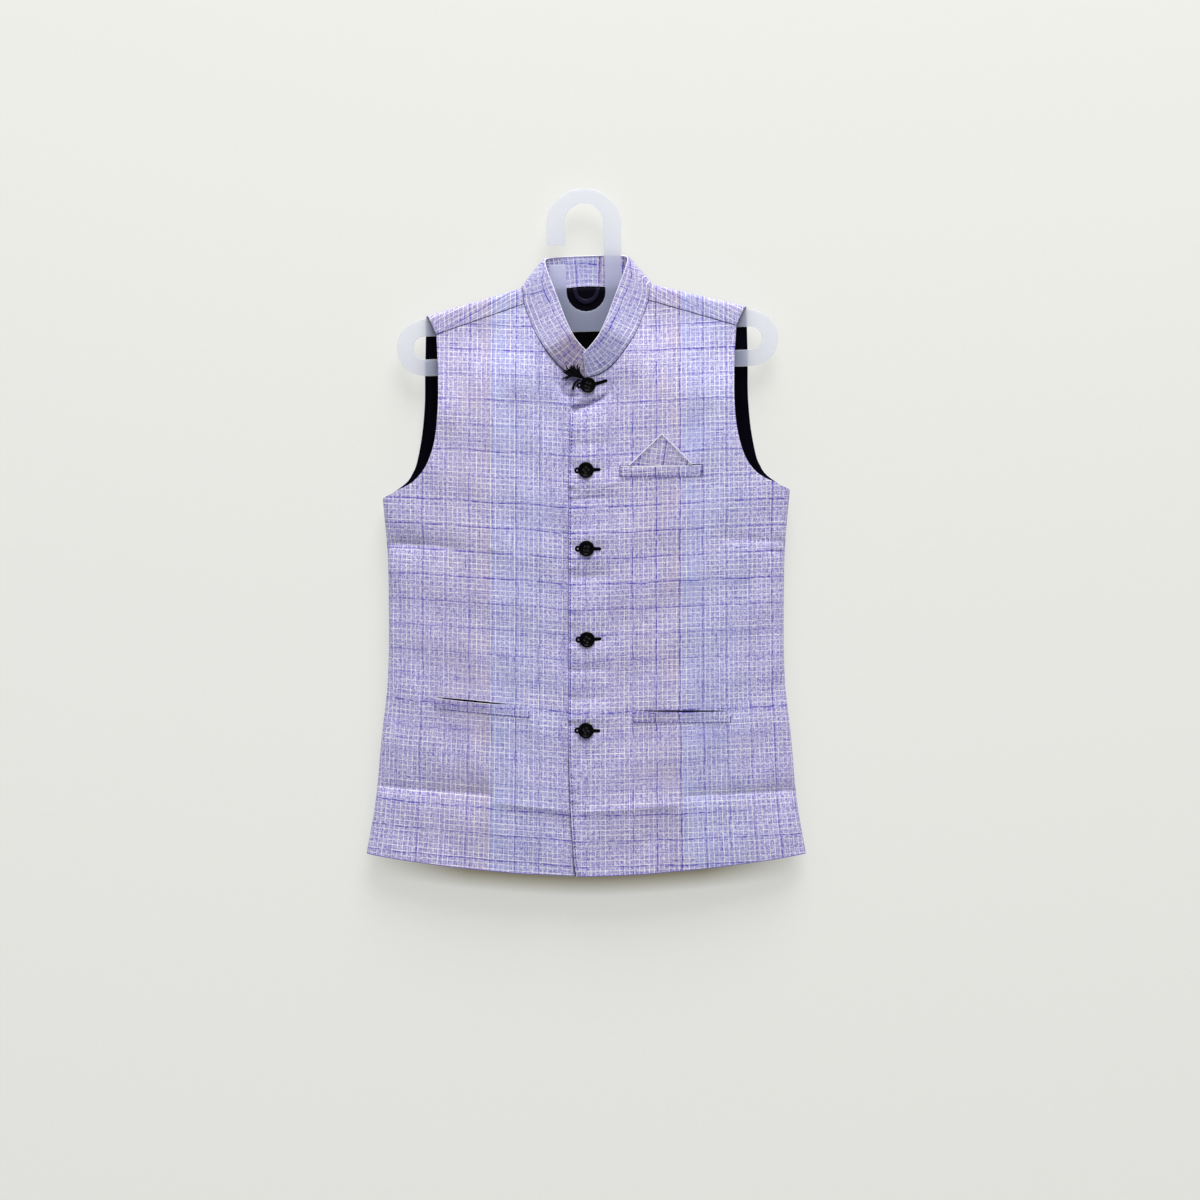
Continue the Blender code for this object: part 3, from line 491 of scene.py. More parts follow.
    def front(
        self, side: int, flat: np.ndarray, lift: float | np.ndarray = 0.0, relief: bool = True
    ) -> np.ndarray:
        """Points on a front.

        Args:
            side: 1 for the wearer's left front, which laps over, or -1.
            flat: Pattern places (u, z).
            lift: How far out they stand.
            relief: Whether the creases count.

        Returns:
            Points in the jacket's frame.
        """
        limit = self.furthest(flat[:, 1], self.front_fullness)
        flat = flat.copy()
        flat[:, 0] = np.minimum(flat[:, 0], limit)
        x = self.across(flat[:, 0], flat[:, 1], self.front_fullness)
        flat[:, 1] = np.minimum(flat[:, 1], self.seam(x) - self.seam_gap)
        total = np.full(len(flat), 0.0) + lift
        if relief:
            seam_fade = ease((limit - flat[:, 0]) / self.seam_fade)
            total = total + self.relief(side, x, flat[:, 1]) * seam_fade
        return self._lifted(lambda f: self._front_level(side, f), flat, limit, total, side)

    def back(self, flat: np.ndarray, lift: float | np.ndarray = 0.0, relief: bool = True) -> np.ndarray:
        """Points on the back.

        Args:
            flat: Pattern places (u, q).
            lift: How far out they stand.
            relief: Whether the creases count.

        Returns:
            Points in the jacket's frame.
        """
        level = np.minimum(flat[:, 1], self.fold(0.0))
        limit = self.furthest(level, self.back_fullness)
        flat = flat.copy()
        flat[:, 0] = np.clip(flat[:, 0], -limit, limit)
        x = self.across(flat[:, 0], level, self.back_fullness)
        past = flat[:, 1] > self.fold(x)
        flat[:, 1] = np.where(past, np.minimum(flat[:, 1], self.seam_q(x) - self.seam_gap), flat[:, 1])
        total = np.full(len(flat), 0.0) + lift
        if relief:
            below_fold = ease((self.fold(x) - flat[:, 1]) / self.fold_fade)
            seam_fade = ease((limit - np.abs(flat[:, 0])) / self.seam_fade)
            total = total + self.relief(0, x, flat[:, 1]) * seam_fade * below_fold
        return self._lifted(self._back_level, flat, limit, total, -1)

    def front_flat(self, points: Iterable[Sequence[float]]) -> np.ndarray:
        """Turns (x, z) places of a front into pattern places."""
        p = np.array(list(points), float)
        return pairs(self.walk(p[:, 0], p[:, 1], self.front_fullness), p[:, 1])

    def on_front(
        self, side: int, spots: Iterable[Sequence[float]], lift: float | np.ndarray = 0.0, relief: bool = True
    ) -> np.ndarray:
        """Points on a front at (x, z) places, as front() gives them at pattern places."""
        return self.front(side, self.front_flat(spots), lift, relief)

    def back_flat(self, points: Iterable[Sequence[float]]) -> np.ndarray:
        """Turns (x, q) places of the back into pattern places."""
        p = np.array(list(points), float)
        level = np.minimum(p[:, 1], self.fold(0.0))
        return pairs(self.walk(p[:, 0], level, self.back_fullness), p[:, 1])


# ---- Colour and nodes


def linear(code: str) -> tuple[float, float, float, float]:
    """Turns an sRGB hex colour to a linear one."""
    parts = [int(code[k : k + 2], 16) / 255 for k in (1, 3, 5)]
    out = [p / 12.92 if p <= 0.04045 else ((p + 0.055) / 1.055) ** 2.4 for p in parts]
    return (out[0], out[1], out[2], 1.0)


class Nodes:
    """A material's node tree, with one way to add a node."""

    def __init__(self, name: str) -> None:
        """Starts a material with its Principled shader."""
        self.material = bpy.data.materials.new(name)
        self.material.use_nodes = True
        self.tree = self.material.node_tree
        self.shader = self.tree.nodes["Principled BSDF"]

    def add(self, kind: str, inputs: dict | Sequence = (), operation: str = "", **settings: object) -> Socket:
        """Adds a node.

        Args:
            kind: Its type, without the leading ShaderNode.
            inputs: Sockets or plain values, in the order of its inputs or by their names or numbers.
            operation: What a sum does.
            **settings: The node's other properties.

        Returns:
            Its first working output; the others are found on the socket's own node.
        """
        node = self.tree.nodes.new("ShaderNode" + kind)
        if operation:
            node.operation = operation
        for key, value in settings.items():
            setattr(node, key, value)
        for key, value in inputs.items() if isinstance(inputs, dict) else enumerate(inputs):
            if isinstance(value, Socket):
                self.tree.links.new(value, node.inputs[key])
            else:
                node.inputs[key].default_value = value
        return next(output for output in node.outputs if output.enabled)

    def link(self, source: Socket, socket: str) -> None:
        """Joins a result to the shader."""
        self.tree.links.new(source, self.shader.inputs[socket])

    def show(self, source: Socket) -> None:
        """Makes a mix of shaders the material's surface."""
        self.tree.links.new(source, self.tree.nodes["Material Output"].inputs["Surface"])

    def shader_values(self, **values: object) -> None:
        """Sets the shader's own sockets, named with _ for each space."""
        for key, value in values.items():
            self.shader.inputs[key.replace("_", " ")].default_value = value


@dataclass(frozen=True)
class WovenCheck:
    """Cotton and linen check: thin pale lines, and a dark slubby one in about every five.

    The yarns are uneven, so each line swells, thins and breaks, and the ground looks heathered.

    Attributes:
        name: The material's name.
        ground: Colour of the ground.
        ground_deep: Colour of its darker yarns.
        painted_warm_shade: Colour of the painted reddish shade just before each pressed fold.
        painted_cool_shade: Colour of the painted bluish shade just after it.
        pale: Colour of the pale lines.
        dark: Colour of the dark lines.
        pitch: Spacing of the pale lines, across and up.
        dark_pitch: Spacing of the dark lines, across and up.
        pale_width: Width of a pale line.
        dark_width: Width of a dark line.
        dark_share: How strongly the dark lines show, across and up.
        fold_shade_pitch: Spacing of the pressed folds, and so of the broad stripes of painted shade beside
            them.
        fold_shade_at: Where one of those folds lies, at which a stripe begins.
        unshaded_span: Between which places across the cut the colour is left as it is.
        painted_end_shade: Painted shade: what its colour is multiplied by before the first place and after
            the second, darkening the collar's lower ends where shade falls on them.
        yarn: Spacing of the yarns in the bump, drawn three times as coarse as they are, to show.
    """

    name: str = "lavender cotton linen check"
    ground: str = "#C9C6E6"
    ground_deep: str = "#807ABC"
    painted_warm_shade: str = "#B3A3B6"
    painted_cool_shade: str = "#A2B0E0"
    pale: str = "#F4F2F1"
    dark: str = "#3A2EAE"
    pitch: tuple[float, float] = (0.00590, 0.00630)
    dark_pitch: tuple[float, float] = (0.0290, 0.0318)
    pale_width: float = 0.00068
    dark_width: float = 0.00135
    dark_share: tuple[float, float] = (0.86, 1.0)
    fold_shade_pitch: float = 0.2365
    fold_shade_at: float = 0.1190
    unshaded_span: tuple[float, float] | None = None
    painted_end_shade: tuple[str, str] = ("#D8D7DC", "#CDC8C7")
    yarn: float = 0.0011

    def _lines(
        self, n: Nodes, across: object, along: object, pitch: float, width: float, seed: float, even: float
    ) -> Socket:
        """Draws one set of uneven lines.

        Args:
            n: The tree.
            across: Coordinate across the lines.
            along: Coordinate along them.
            pitch: Their spacing.
            width: Their width.
            seed: A number that sets this set apart.
            even: The weight of the weakest line, and of a line's weakest stretch.

        Returns:
            How strongly a line shows, from 0 to 1.
        """
        drift = self._yarns(n, across, along, (6.0, 22.0), seed, Detail=2.0)
        start = n.add("Math", (across, 0.11 * pitch), "SUBTRACT")
        moved = n.add("Math", (drift, 0.22 * pitch, start), "MULTIPLY_ADD")
        unit = n.add("Math", (moved, pitch), "DIVIDE")
        which = n.add("Math", (unit,), "ROUND")
        far = n.add("Math", (unit, 0.5), "PINGPONG")
        slub = self._yarns(n, which, along, (7.31, 150.0), seed, Detail=3.0, Roughness=0.7)
        half = n.add("Math", (slub, width / pitch, 0.15 * width / pitch), "MULTIPLY_ADD")
        core = n.add("Math", (half, 0.45), "MULTIPLY")
        rim = n.add("Math", (half, 1.35), "MULTIPLY")
        line = n.add("MapRange", (far, core, rim, 1.0, 0.0))
        chance = n.add("Math", (which, seed), "ADD")
        each = n.add("TexWhiteNoise", {"W": chance}, noise_dimensions="1D")
        weight = n.add("Math", (each, 1 - even, even), "MULTIPLY_ADD")
        broken = n.add("MapRange", (slub, 0.38, 0.56, even, 1.0))
        stretch = n.add("MapRange", (drift, 0.34, 0.47, even, 1.0))
        unbroken = n.add("Math", (broken, stretch), "MULTIPLY")
        weighed = n.add("Math", (line, weight), "MULTIPLY")
        return n.add("Math", (weighed, unbroken), "MULTIPLY")

    @staticmethod
    def _yarns(
        n: Nodes, u: object, v: object, often: tuple[float, float], seed: float, **settings: float
    ) -> Socket:
        """Draws the unevenness of yarns, as a noise that changes more quickly one way than the other.

        Args:
            n: The tree.
            u: The first coordinate.
            v: The second.
            often: How quickly it changes along each.
            seed: A number that sets this noise apart.
            **settings: The noise's detail and roughness.

        Returns:
            The noise, about a half on average.
        """
        scaled = [n.add("Math", (at, scale), "MULTIPLY") for at, scale in zip((u, v), often)]
        place = n.add("CombineXYZ", (*scaled, seed))
        return n.add("TexNoise", {"Vector": place, "Scale": 1.0, **settings})

    def build(self) -> bpy.types.Material:
        """Makes the cloth's material."""
        n = Nodes(self.name)
        cut = n.add("UVMap", uv_map="cut")
        u, v = n.add("SeparateXYZ", (cut,)).node.outputs[:2]
        streaky = {"Detail": 2.0, "Roughness": 0.6}
        fine, slubby = (860.0, 260.0), (760.0, 34.0)  # changes to the metre, across a yarn and along it
        warp, weft = self._yarns(n, u, v, fine, 3.0, **streaky), self._yarns(n, v, u, fine, 9.0, **streaky)
        both = n.add("Math", (warp, weft), "ADD")
        layers = [(n.add("MapRange", (both, 0.87, 1.13, 0.0, 1.0)), self.ground)]
        # Painted shade: broad stripes, reddish before each pressed fold and bluish after it, stand in for the
        # light falling differently on the fold's two sides.
        from_stripe = n.add("Math", (u, self.fold_shade_at), "SUBTRACT")
        turns = n.add("Math", (from_stripe, self.fold_shade_pitch), "DIVIDE")
        stripe = n.add("Math", (turns,), "FRACT")
        patch = n.add("TexNoise", {"Vector": cut, "Scale": 22.0, "Detail": 2.0})
        uneven_shade = n.add("MapRange", (patch, 0.35, 0.65, 0.25, 1.1))
        for band, tint in (((0.02, 0.40, 0.50, 0.0), self.painted_cool_shade), ((0.50, 1.0, 0.0, 0.42), self.painted_warm_shade)):
            shade = n.add("MapRange", (stripe, *band))
            layers.append((n.add("Math", (shade, uneven_shade), "MULTIPLY"), tint))
        slubs = self._yarns(n, v, u, slubby, 21.0, **streaky), self._yarns(n, u, v, slubby, 27.0, **streaky)
        thick = n.add("Math", slubs, "MAXIMUM")
        layers.append((n.add("MapRange", (thick, 0.59, 0.67, 0.0, 0.65)), self.dark))
        for pitch, width, seed, even, strength, tint in (
            (self.pitch, self.pale_width, 1.7, 0.55, (0.95, 0.95), self.pale),
            (self.dark_pitch, self.dark_width, 12.1, 0.30, self.dark_share, self.dark),
        ):
            for across, along, k in ((u, v, 0), (v, u, 1)):
                lines = self._lines(n, across, along, pitch[k], width, seed + 3 * k, even)
                layers.append((n.add("Math", (lines, strength[k]), "MULTIPLY"), tint))
        colour = linear(self.ground_deep)
        for share, tint in layers:
            colour = n.add("Mix", {0: share, 6: colour, 7: linear(tint)}, data_type="RGBA")
        # Painted shade: past each end of the span the colour is multiplied darker, for the shade on the
        # collar's lower ends.
        for end, reach, tint in zip(self.unshaded_span or (), (-0.012, 0.012), self.painted_end_shade):
            share = n.add("MapRange", (u, end, end + reach, 0.0, 1.0))
            mixed = {0: share, 6: colour, 7: linear(tint)}
            colour = n.add("Mix", mixed, data_type="RGBA", blend_type="MULTIPLY")
        n.link(colour, "Base Color")
        turns = [n.add("Math", (at, math.tau / self.yarn), "MULTIPLY") for at in (u, v)]
        waves = [n.add("Math", (turn,), "SINE") for turn in turns]
        crossed = n.add("Math", waves, "MULTIPLY")
        rough = n.add("Math", (both, 2.0), "MULTIPLY")
        weave = n.add("Math", (crossed, rough), "ADD")
        n.link(n.add("Bump", {"Height": weave, "Strength": 0.35, "Distance": 0.0003}), "Normal")
        n.shader_values(Roughness=0.86, IOR=1.46, Specular_IOR_Level=0.25)
        n.shader_values(Sheen_Weight=0.15, Sheen_Roughness=0.45)
        return n.material


@dataclass(frozen=True)
class FineCloth:
    """A plain fine cloth: lining satin, ribbon, or a label's weave.

    Attributes:
        name: The material's name.
        colour: Its colour.
        worn: The colour of its lighter yarns.
        roughness: How dull it is.
        yarn: Spacing of its yarns, drawn coarse enough to show.
        shine: How much of the usual highlight it keeps.
    """

    name: str
    colour: str
    worn: str
    roughness: float = 0.5
    yarn: float = 0.0009
    shine: float = 0.02

    def build(self) -> bpy.types.Material:
        """Makes the cloth's material."""
        n = Nodes(self.name)
        cut = n.add("UVMap", uv_map="cut")
        soft = n.add("TexNoise", {"Vector": cut, "Scale": 40.0, "Detail": 4.0})
        shades = {0: soft, 6: linear(self.colour), 7: linear(self.worn)}
        n.link(n.add("Mix", shades, data_type="RGBA"), "Base Color")
        twill = n.add("Math", n.add("SeparateXYZ", (cut,)).node.outputs[:2], "ADD")
        turns = n.add("Math", (twill, math.tau / self.yarn), "MULTIPLY")
        wave = n.add("Math", (turns,), "SINE")
        n.link(n.add("Bump", {"Height": wave, "Strength": 0.2, "Distance": 0.0002}), "Normal")
        n.link(n.add("MapRange", {0: soft, 3: self.roughness - 0.08, 4: self.roughness + 0.08}), "Roughness")
        n.shader_values(IOR=1.46, Specular_IOR_Level=self.shine)
        return n.material


@dataclass(frozen=True)
class MouldedPlastic:
    """A moulded or turned plastic.

    Attributes:
        name: The material's name.
        colour: Its colour.
        clouded: The colour of its cloudier places.
        roughness: How dull it is.
        shine: How strong its highlights are; half is the usual.
        grain: Size of the faint unevenness of its skin.
    """

    name: str
    colour: str
    clouded: str
    roughness: float
    shine: float = 0.5
    grain: float = 0.004

    def build(self) -> bpy.types.Material:
        """Makes the plastic's material."""
        n = Nodes(self.name)
        place = n.add("TexCoord").node.outputs["Object"]
        cloud = n.add("TexNoise", {"Vector": place, "Scale": 0.25 / self.grain, "Detail": 3.0})
        shades = {0: cloud, 6: linear(self.colour), 7: linear(self.clouded)}
        n.link(n.add("Mix", shades, data_type="RGBA"), "Base Color")
        skin = n.add("TexNoise", {"Vector": place, "Scale": 2.0 / self.grain, "Detail": 2.0})
        n.link(n.add("Bump", {"Height": skin, "Strength": 0.08, "Distance": 0.0002}), "Normal")
        n.link(n.add("MapRange", {0: skin, 3: self.roughness - 0.05, 4: self.roughness + 0.05}), "Roughness")
        n.shader_values(IOR=1.49, Specular_IOR_Level=self.shine)
        return n.material


@dataclass(frozen=True)
class MilkyPlastic:
    """Milky polypropylene: it scatters a little blue light back and lets the rest through, mostly diffused.

    Attributes:
        name: The material's name.
        scattered: The colour it scatters back.
        passed: The colour it lets through.
        share: Share of the light that passes.
        clear: Share of what passes that isn't diffused.
    """

    name: str = "milky polypropylene"
    scattered: str = "#C8D2FC"
    passed: str = "#FFFEFA"
    share: float = 0.80
    clear: float = 0.55

    def build(self) -> bpy.types.Material:
        """Makes the plastic's material."""
        n = Nodes(self.name)
        place = n.add("TexCoord").node.outputs["Object"]
        skin = n.add("TexNoise", {"Vector": place, "Scale": 60.0, "Detail": 2.0})
        bump = n.add("Bump", {"Height": skin, "Strength": 0.08, "Distance": 0.0003})
        n.link(bump, "Normal")
        n.shader_values(Base_Color=linear(self.scattered), Roughness=0.4, IOR=1.49)
        blurred = n.add("BsdfTranslucent", {"Color": linear(self.passed), "Normal": bump})
        clear = n.add("BsdfTransparent", (linear(self.passed),))
        passing = n.add("MixShader", (self.clear, blurred, clear))
        n.show(n.add("MixShader", (self.share, n.shader.outputs[0], passing)))
        return n.material


@dataclass(frozen=True)
class Thread:
    """Spun sewing thread, with a twist along it.

    Attributes:
        name: The material's name.
        colour: Its colour.
        lit: The colour of its raised fibres.
        twist: Length of one turn of the twist, drawn coarse enough to show.
    """

    name: str
    colour: str
    lit: str
    twist: float = 0.0012

    def build(self) -> bpy.types.Material:
        """Makes the thread's material."""
        n = Nodes(self.name)
        place = n.add("TexCoord").node.outputs["Object"]
        fuzz = n.add("TexNoise", {"Vector": place, "Scale": 1.0 / self.twist, "Detail": 3.0})
        shades = {0: fuzz, 6: linear(self.colour), 7: linear(self.lit)}
        n.link(n.add("Mix", shades, data_type="RGBA"), "Base Color")
        n.link(n.add("Bump", {"Height": fuzz, "Strength": 0.5, "Distance": 0.0003}), "Normal")
        n.shader_values(Roughness=0.75, Specular_IOR_Level=0.04)
        return n.material


class Finish(Enum):
    """The finishes of the whole piece."""

    CHECK = WovenCheck()
    # A darker copy of the check for the collar: painted shade, since the light from above falls more strongly
    # on the collar; its ends get more painted shade.
    COLLAR_CHECK = WovenCheck(
        "collar lavender check with painted shade", "#BABAD9", "#807AB4", "#A694A6", "#98A6D6", "#E9E7EC",
        unshaded_span=(-0.026, 0.296),
    )
    LINING = FineCloth("black lining satin", "#030207", "#080612", 0.5)
    LABEL = FineCloth("black label weave", "#050506", "#0C0C10", 0.6, 0.0012)
    RIBBON = FineCloth("black satin ribbon", "#08070F", "#1C1A38", 0.34, 0.0010, 0.10)
    BUTTON = MouldedPlastic("black polyester button", "#010102", "#040406", 0.30, grain=0.002, shine=0.05)
    # Lighter grey rims: painted glints at the buttons' holes.
    BUTTON_RIM = MouldedPlastic("black polyester rim with painted glints", "#1C1C22", "#4A4A52", 0.25, grain=0.002)
    HANGER = MilkyPlastic()
    BLACK_THREAD = Thread("black polyester thread", "#020203", "#0B0B0F")
    BLUE_THREAD = Thread("violet polyester thread", "#3A3196", "#5F57AE")
    # Also used for dark lines of painted shade in gaps and slits.
    SEAM_THREAD = Thread("dark violet seam thread and painted shade", "#1A1738", "#2C2852")
    # Dark tubes that paint the shade along the front edges and in the hem's turn.
    HEM_TURN = Thread("painted shade on cloth edges", "#5E56A4", "#8A84C2", 0.0030)
    # Pale tubes that paint the highlight on pressed folds.
    PRESSED_EDGE = Thread("painted highlight on pressed edges", "#DEDAEF", "#FBFAFD", 0.0030)

    def material(self) -> bpy.types.Material:
        """The finish's material, made once."""
        return bpy.data.materials.get(self.value.name) or self.value.build()


# ---- Making pieces


@dataclass
class Sheet:
    """A cloth piece made of grids that are placed on the form and joined.

    Attributes:
        name: The piece's name.
        thickness: How thick the cloth is; it lies inside the surface.
    """

    name: str
    thickness: float
    mesh: bmesh.types.BMesh = field(default_factory=bmesh.new)

    def __post_init__(self) -> None:
        """Keeps room at each vertex for its place on the cut."""
        self.layer = self.mesh.verts.layers.float_vector.new("cut")

    def grid(self, flat: np.ndarray, place: Place, cut: Place | None = None, turned: bool = False) -> None:
        """Adds one grid.

        Args:
            flat: Pattern places, (rows, columns, 2).
            place: Turns places into points.
            cut: Turns places into the check's coordinates, in metres, or None for the places themselves.
            turned: Whether the faces must be turned round.
        """
        rows, columns = flat.shape[:2]
        made = bmesh.ops.create_grid(self.mesh, x_segments=columns - 1, y_segments=rows - 1, size=0.5)
        made, spread = made["verts"], flat.reshape(-1, 2)
        points = place(spread)
        marks = spread if cut is None else cut(spread)
        for vert in made:
            column, row = round((vert.co.x + 0.5) * (columns - 1)), round((vert.co.y + 0.5) * (rows - 1))
            at = row * columns + column
            vert.co = points[at]
            vert[self.layer] = (marks[at][0], marks[at][1], 0.0)
        if turned:
            faces = {face for vert in made for face in vert.link_faces}
            bmesh.ops.reverse_faces(self.mesh, faces=list(faces))

    def finish(
        self, finishes: Sequence[Finish], node: str | None, slot: str, rim: float = 0.0004
    ) -> bpy.types.Object:
        """Joins the grids and gives the piece its thickness, edges and finish.

        Args:
            finishes: Its outer finish and, if it differs, its inner one.
            node: The CAD node that it stands for, if any.
            slot: The record's material slot, which is not used.
            rim: How far its edges are rounded.

        Returns:
            The piece.
        """
        bmesh.ops.remove_doubles(self.mesh, verts=self.mesh.verts, dist=0.02 * MM)
        uv = self.mesh.loops.layers.uv.new("cut")
        layer = self.mesh.verts.layers.float_vector["cut"]
        for face in self.mesh.faces:
            face.smooth = True
            for loop in face.loops:
                loop[uv].uv = loop.vert[layer].xy
        obj = object_of(self.mesh, self.name)
        for finish in finishes:
            obj.data.materials.append(finish.material())
        wall = obj.modifiers.new("thickness", "SOLIDIFY")
        wall.thickness, wall.offset = self.thickness, -1.0
        wall.use_even_offset = False
        wall.material_offset = len(finishes) - 1
        if rim:
            edge = obj.modifiers.new("rolled edges", "BEVEL")
            edge.width, edge.segments = rim, 2
            edge.limit_method, edge.angle_limit = "ANGLE", math.radians(60)
        return dressed(obj, node)


def object_of(mesh: bmesh.types.BMesh, name: str) -> bpy.types.Object:
    """Puts a mesh in the scene as a named object and frees it."""
    data = bpy.data.meshes.new(name)
    mesh.to_mesh(data)
    mesh.free()
    obj = bpy.data.objects.new(name, data)
    bpy.context.scene.collection.objects.link(obj)
    return obj


def dressed(obj: bpy.types.Object, node: str | None) -> bpy.types.Object:
    """Ties a piece to the frame and its node, and reports it."""
    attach(obj, "root")
    if node:
        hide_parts(node)
    log.info("%s: %d faces", obj.name, len(obj.data.polygons))
    return obj


def threads(
    name: str, paths: Iterable[np.ndarray], radius: float, finish: Finish, sides: int = 5,
    taper: float = 1.0, node: str | None = None,
) -> None:
    """Makes one piece of many threads.

    Args:
        name: The piece's name.
        paths: One path for each thread.
        radius: The threads' radius.
        finish: Their finish.
        sides: Faces round a thread.
        taper: Radius at a thread's ends, as a share.
        node: The CAD node that they stand for, if any.
    """
    curve = bpy.data.curves.new(name, "CURVE")
    curve.dimensions = "3D"
    curve.bevel_depth = radius
    curve.bevel_resolution = max(0, sides // 2 - 1)
    curve.use_fill_caps = True
    for path in paths:
        spline = curve.splines.new("POLY")
        spline.points.add(len(path) - 1)
        for k, (point, at) in enumerate(zip(spline.points, path)):
            point.co = (*at, 1.0)
            point.radius = taper if k in (0, len(path) - 1) else 1.0
    line = bpy.data.objects.new(name + "_path", curve)
    bpy.context.scene.collection.objects.link(line)
    data = bpy.data.meshes.new_from_object(line.evaluated_get(bpy.context.evaluated_depsgraph_get()))
    bpy.data.objects.remove(line)
    bpy.data.curves.remove(curve)
    data.name = name
    obj = bpy.data.objects.new(name, data)
    bpy.context.scene.collection.objects.link(obj)
    obj.data.materials.clear()
    obj.data.materials.append(finish.material())
    obj.data.shade_smooth()
    dressed(obj, node)


def stitches(line: np.ndarray, place: Place, length: float = 0.0030, gap: float = 0.0017) -> list[np.ndarray]:
    """Lays a row of stitches.

    Args:
        line: Pattern places along the row.
        place: Turns places and a lift into points.
        length: Length of one stitch.
        gap: Cloth between two.

    Returns:
        A short path for each stitch, which dips at its ends.
    """
    total = distances(line)[-1]
    fine = resampled(line, max(2, int(total / (0.4 * MM))))
    share = walked_share(fine) * total
    lift = np.array([-0.25, 0.12, 0.18, 0.12, -0.25]) * MM
    paths = []
    for k in range(int(total / (length + gap))):
        at = k * (length + gap) + np.linspace(0, length, len(lift))
        spots = np.stack([np.interp(at, share, fine[:, c]) for c in (0, 1)], axis=1)
        paths.append(place(spots, lift))
    return paths


# ---- The sub-assemblies

ARMHOLE_FRONT = (  # from the side seam up to the shoulder seam
    (0.2370, -0.3550), (0.2168, -0.3452), (0.2024, -0.3306), (0.1932, -0.3122),
    (0.1868, -0.2850), (0.1838, -0.2470), (0.1844, -0.2060), (0.1870, -0.1588),
)
ARMHOLE_BACK = (
    (0.2400, -0.3540), (0.2250, -0.3420), (0.2182, -0.3310), (0.2130, -0.3180),
    (0.2068, -0.2850), (0.2032, -0.2450), (0.2024, -0.2000),
)
NECKLINE = (  # of a front, from the centre up to the shoulder seam
    (0.0000, -0.2215), (0.0165, -0.2170), (0.0325, -0.2060), (0.0455, -0.1910), (0.0555, -0.1760),
    (0.0633, -0.1620), (0.0690, -0.1480), (0.0738, -0.1360), (0.0780, -0.1240),
)
ARMHOLE_BASE, ARMHOLE_MID, NECK_TURN = 3, 6, 3  # their points at which one grid gives way to the next


